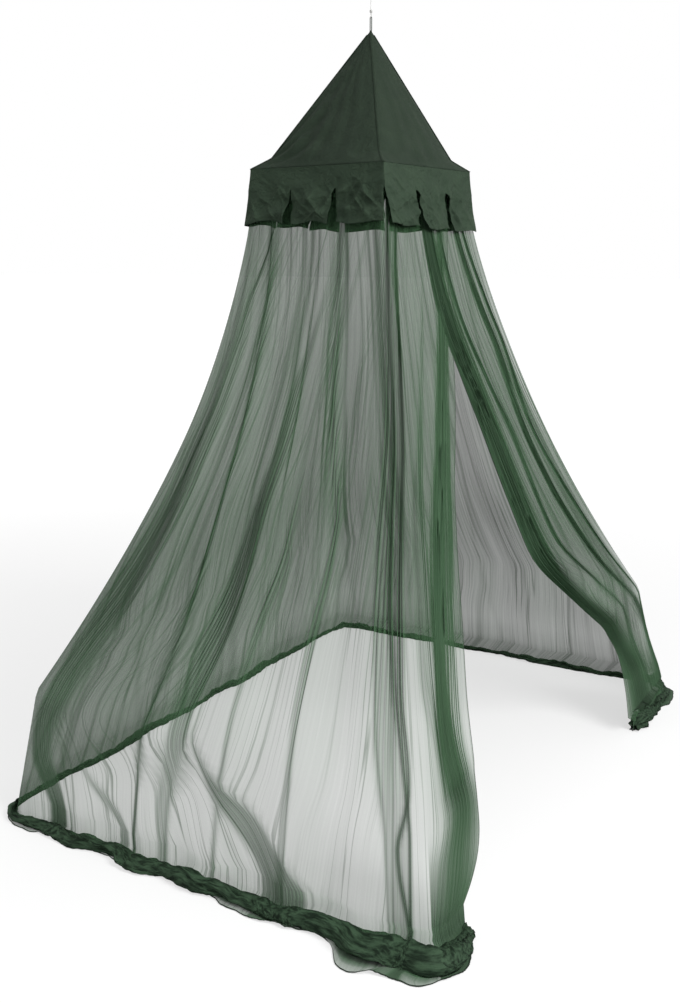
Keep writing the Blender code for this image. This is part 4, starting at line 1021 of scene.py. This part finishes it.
def crumpleFlap(x, share, dice, setup, tilt):
    # x runs from -1 to 1 over a flap; returns how far the cloth stands out and how far it is lifted
    creases = crumple(x * 0.9, share * 2.0, dice, 7) * 0.011
    for _ in range(setup["pulls"]):
        # sharp pulls that run slantwise over the flap and die out
        side, level, way = dice.uniform(-0.9, 0.9), dice.uniform(0.25, 0.95), dice.choice([-1, 1])
        way = way * dice.uniform(0.5, 1.2)
        off = (x - side) * math.sin(way) * 0.09 - (share - level) * math.cos(way) * 0.2
        run = (x - side) * math.cos(way) * 0.09 + (share - level) * math.sin(way) * 0.2
        strong, long = dice.uniform(0.005, 0.011), dice.uniform(0.02, 0.06)
        creases = creases + strong * np.exp(-np.abs(off) / 0.0045 - (run / long) ** 2)
    belly = dice.uniform(-0.5, 1.0) * 0.009 * np.cos(x * 1.4) * np.sin(share * 2.4)
    wavy = 0.004 * np.sin(x * dice.uniform(2, 4) + dice.uniform(0, 6))
    lift = (wavy + 0.001 * tilt * np.cos(x * 1.5)) * share ** 3
    return (creases + belly) * easeIn(share * 1.6), lift


def cutSlits(mesh, column, row, columns, startRow):
    # one line of faces is taken out at each slit
    shape = bmesh.new()
    shape.from_mesh(mesh)
    loose = []
    for face in shape.faces:
        left = min(column[vert.index] for vert in face.verts)
        upper = min(row[vert.index] for vert in face.verts)
        if left + 1 in columns and upper >= startRow:
            loose.append(face)
    bmesh.ops.delete(shape, geom=loose, context="FACES")
    shape.to_mesh(mesh)
    shape.free()


def makeValance(side, setup, flaps):
    name, (normal, along) = "valanceFlaps_" + side, valanceWays[side]
    columns, rows, third = setup["columns"], setup["rows"], setup["columns"] // 3
    mesh, column, row = gridMesh(name, columns, rows + setup["hem"])
    across = np.linspace(-1, 1, columns + 1)
    drops = np.linspace(0, 1, rows + 1) * setup["drop"]
    startRow = int(np.searchsorted(drops, setup["slit"]))
    drops = np.concatenate([drops, setup["drop"] - np.linspace(0.02, 1, setup["hem"]) * setup["turnUp"]])
    drop, turned = drops[:, None], (np.arange(len(drops)) > rows)[:, None]
    share = drop / setup["drop"]
    flap = np.clip(np.arange(columns + 1) // third, 0, 2)
    local = ((across - (flap - 1) * 2 / 3) * 3)[None, :]  # -1 to 1 over a flap
    parted = np.clip((drop - setup["slit"]) / (setup["drop"] - setup["slit"]), 0, 1) ** 0.75
    gaps, curls = np.array(flaps["gaps"]) / 1000, np.array(flaps["curls"]).reshape(3, 2) * 0.001
    inset = np.where(local < 0, gaps[flap], gaps[flap + 1]) * parted * np.abs(local) ** 3
    curl = np.where(local < 0, curls[flap, 0], curls[flap, 1])
    curl = curl * np.clip(np.abs(local) - 0.45, 0, 1) ** 2 / 0.3 * parted
    dice = np.random.default_rng(flaps["seed"])
    out, lift = 0 * local * drop, 0 * local * drop
    for index in range(3):
        here = flap == index
        out[:, here], lift[:, here] = crumpleFlap(local[:, here], share, dice, setup, flaps["tilt"][index])
    corner = np.abs(across[None, :]) ** 6
    flare = setup["flare"] * share ** 1.4
    out = out * (1 - 0.7 * corner) + curl + flare * (1 - 0.36 * corner) + 0.004 * share
    net = reachAt(setup["top"] - drop, drapeSetup["side"], setup["shoulder"]) - setup["out"]
    out = np.maximum(out, np.maximum(net + setup["clear"] * easeIn(share * 3), 0)) - turned * 0.0016
    reach = setup["out"] + out
    spread = across[None, :] * (setup["out"] + flare * 0.64 * np.abs(across[None, :]) ** 3)
    spread = spread - inset * np.sign(local)
    x, y = (normal[axis] * reach + along[axis] * spread for axis in (0, 1))
    rise = np.interp(across, (-1, 1), np.array(flaps["short"]) / 1000)[None, :]
    z = setup["top"] - ceiling - drop + lift + share * rise
    placeGrid(mesh, column, row, hang(np.stack([x, y, z], -1)),
              run=paired(across[None, :] * setup["out"], drop + turned * 0.003))
    cutSlits(mesh, column, row, (third, 2 * third), startRow)
    mesh.flip_normals()
    mesh.shade_smooth()
    piece = finishPiece(name, mesh, valanceCloth, "net")
    addWall(piece, "cloth", setup["thickness"], 0)
    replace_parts(piece, "valance_" + side)
    "rod_sleeve_" + side


for side in ("foot", "door", "head", "left"):
    makeValance(side, valanceSetup, flapSetup[side])
print("valance ready")

# CAD nodes whose shape is right get their finishes
finishes = {
    "ceiling_plate": whitePaint, "ceiling_hook": zincSteel, "plate_screw_front": zincSteel,
    "plate_screw_back": zincSteel, "wall_plug_front": whiteNylon, "wall_plug_back": whiteNylon,
    "loop_knot": greenTape, "peak_patch": canopyCloth}
for side in sideNames:
    finishes["spreader_rod_" + side] = glassFibre
    finishes["rod_sleeve_" + side] = greenTape
    finishes["header_tape_" + side] = greenTape
for corner in ("near", "far", "back", "left"):
    finishes["frame_corner_" + corner] = blackNylon
for name, material in finishes.items():
    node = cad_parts[name]
    if not node.material_slots:
        node.data.materials.append(material)
    for slot in node.material_slots:
        slot.material = material

# Studio: pale floor, white behind, soft light
studioSetup = {
    "floor": 0.32, "size": 90.0, "below": 0.0005, "world": 0.60, "glow": 0.52, "farGlow": 0.83,
    "glowFrom": 1.5, "glowOver": 5.0, "aim": (0, 0, -1.2),
    "lamps": (("keyLight", (4.2, -1.2, 0.8), 2.6, 300.0), ("fillLight", (-2.5, -4.0, 0.6), 3.0, 60.0))}


def areaLight(name, place, size, power, aim):
    data = bpy.data.lights.new(name, "AREA")
    data.shape, data.size, data.energy = "DISK", size, power
    lamp = bpy.data.objects.new(name, data)
    lamp.location = place
    x, y, z = np.array(aim) - np.array(place)
    lamp.rotation_euler = (math.acos(-z / math.hypot(x, y, z)), 0, math.atan2(-x, y))
    collection.objects.link(lamp)


def makeFloor(setup):
    shape = bmesh.new()
    bmesh.ops.create_grid(shape, x_segments=1, y_segments=1, size=setup["size"])
    bmesh.ops.translate(shape, verts=shape.verts, vec=(0, 0, -ceiling - setup["below"]))
    mesh = bpy.data.meshes.new("studioFloor")
    shape.to_mesh(mesh)
    shape.free()
    settings = {"Roughness": 0.9, "Specular IOR Level": 0.1, "Base Color": (setup["floor"],) * 3 + (1,),
                "Emission Strength": 1.0}
    material, start, shader = newMaterial("studioFloor", settings)
    place = start.make("TexCoord", None, None, 3)
    away = start.make("VectorMath", {"operation": "LENGTH"}, {0: place}, 1)
    more = setup["farGlow"] - setup["glow"]
    glow = ((away - setup["glowFrom"]) / setup["glowOver"]).clamp() * more + setup["glow"]
    seen = (start.make("LightPath") * glow).blend((0, 0, 0, 1), (1, 1, 1, 1))
    feed(seen, shader, "Emission Color")
    finishPiece("studioFloor", mesh, material)


def makeSky(setup):
    world = bpy.data.worlds.new("studioSky")
    scene.world = world
    world.use_nodes = True
    tree = world.node_tree
    tree.nodes.clear()
    start = Wire(tree)
    rays = start.make("LightPath")
    seen = (rays + rays.beside("Is Glossy Ray") + rays.beside("Is Transmission Ray")).clamp()
    strength = setup["world"] + seen * (1.0 - setup["world"])
    sky = start.make("Background", None, {"Color": (1, 1, 1, 1), "Strength": strength})
    tree.links.new(sky.socket, tree.nodes.new("ShaderNodeOutputWorld").inputs[0])


makeFloor(studioSetup)
makeSky(studioSetup)
for lamp in studioSetup["lamps"]:
    areaLight(*lamp, studioSetup["aim"])
scene.view_settings.view_transform = "Standard"
print("studio ready")
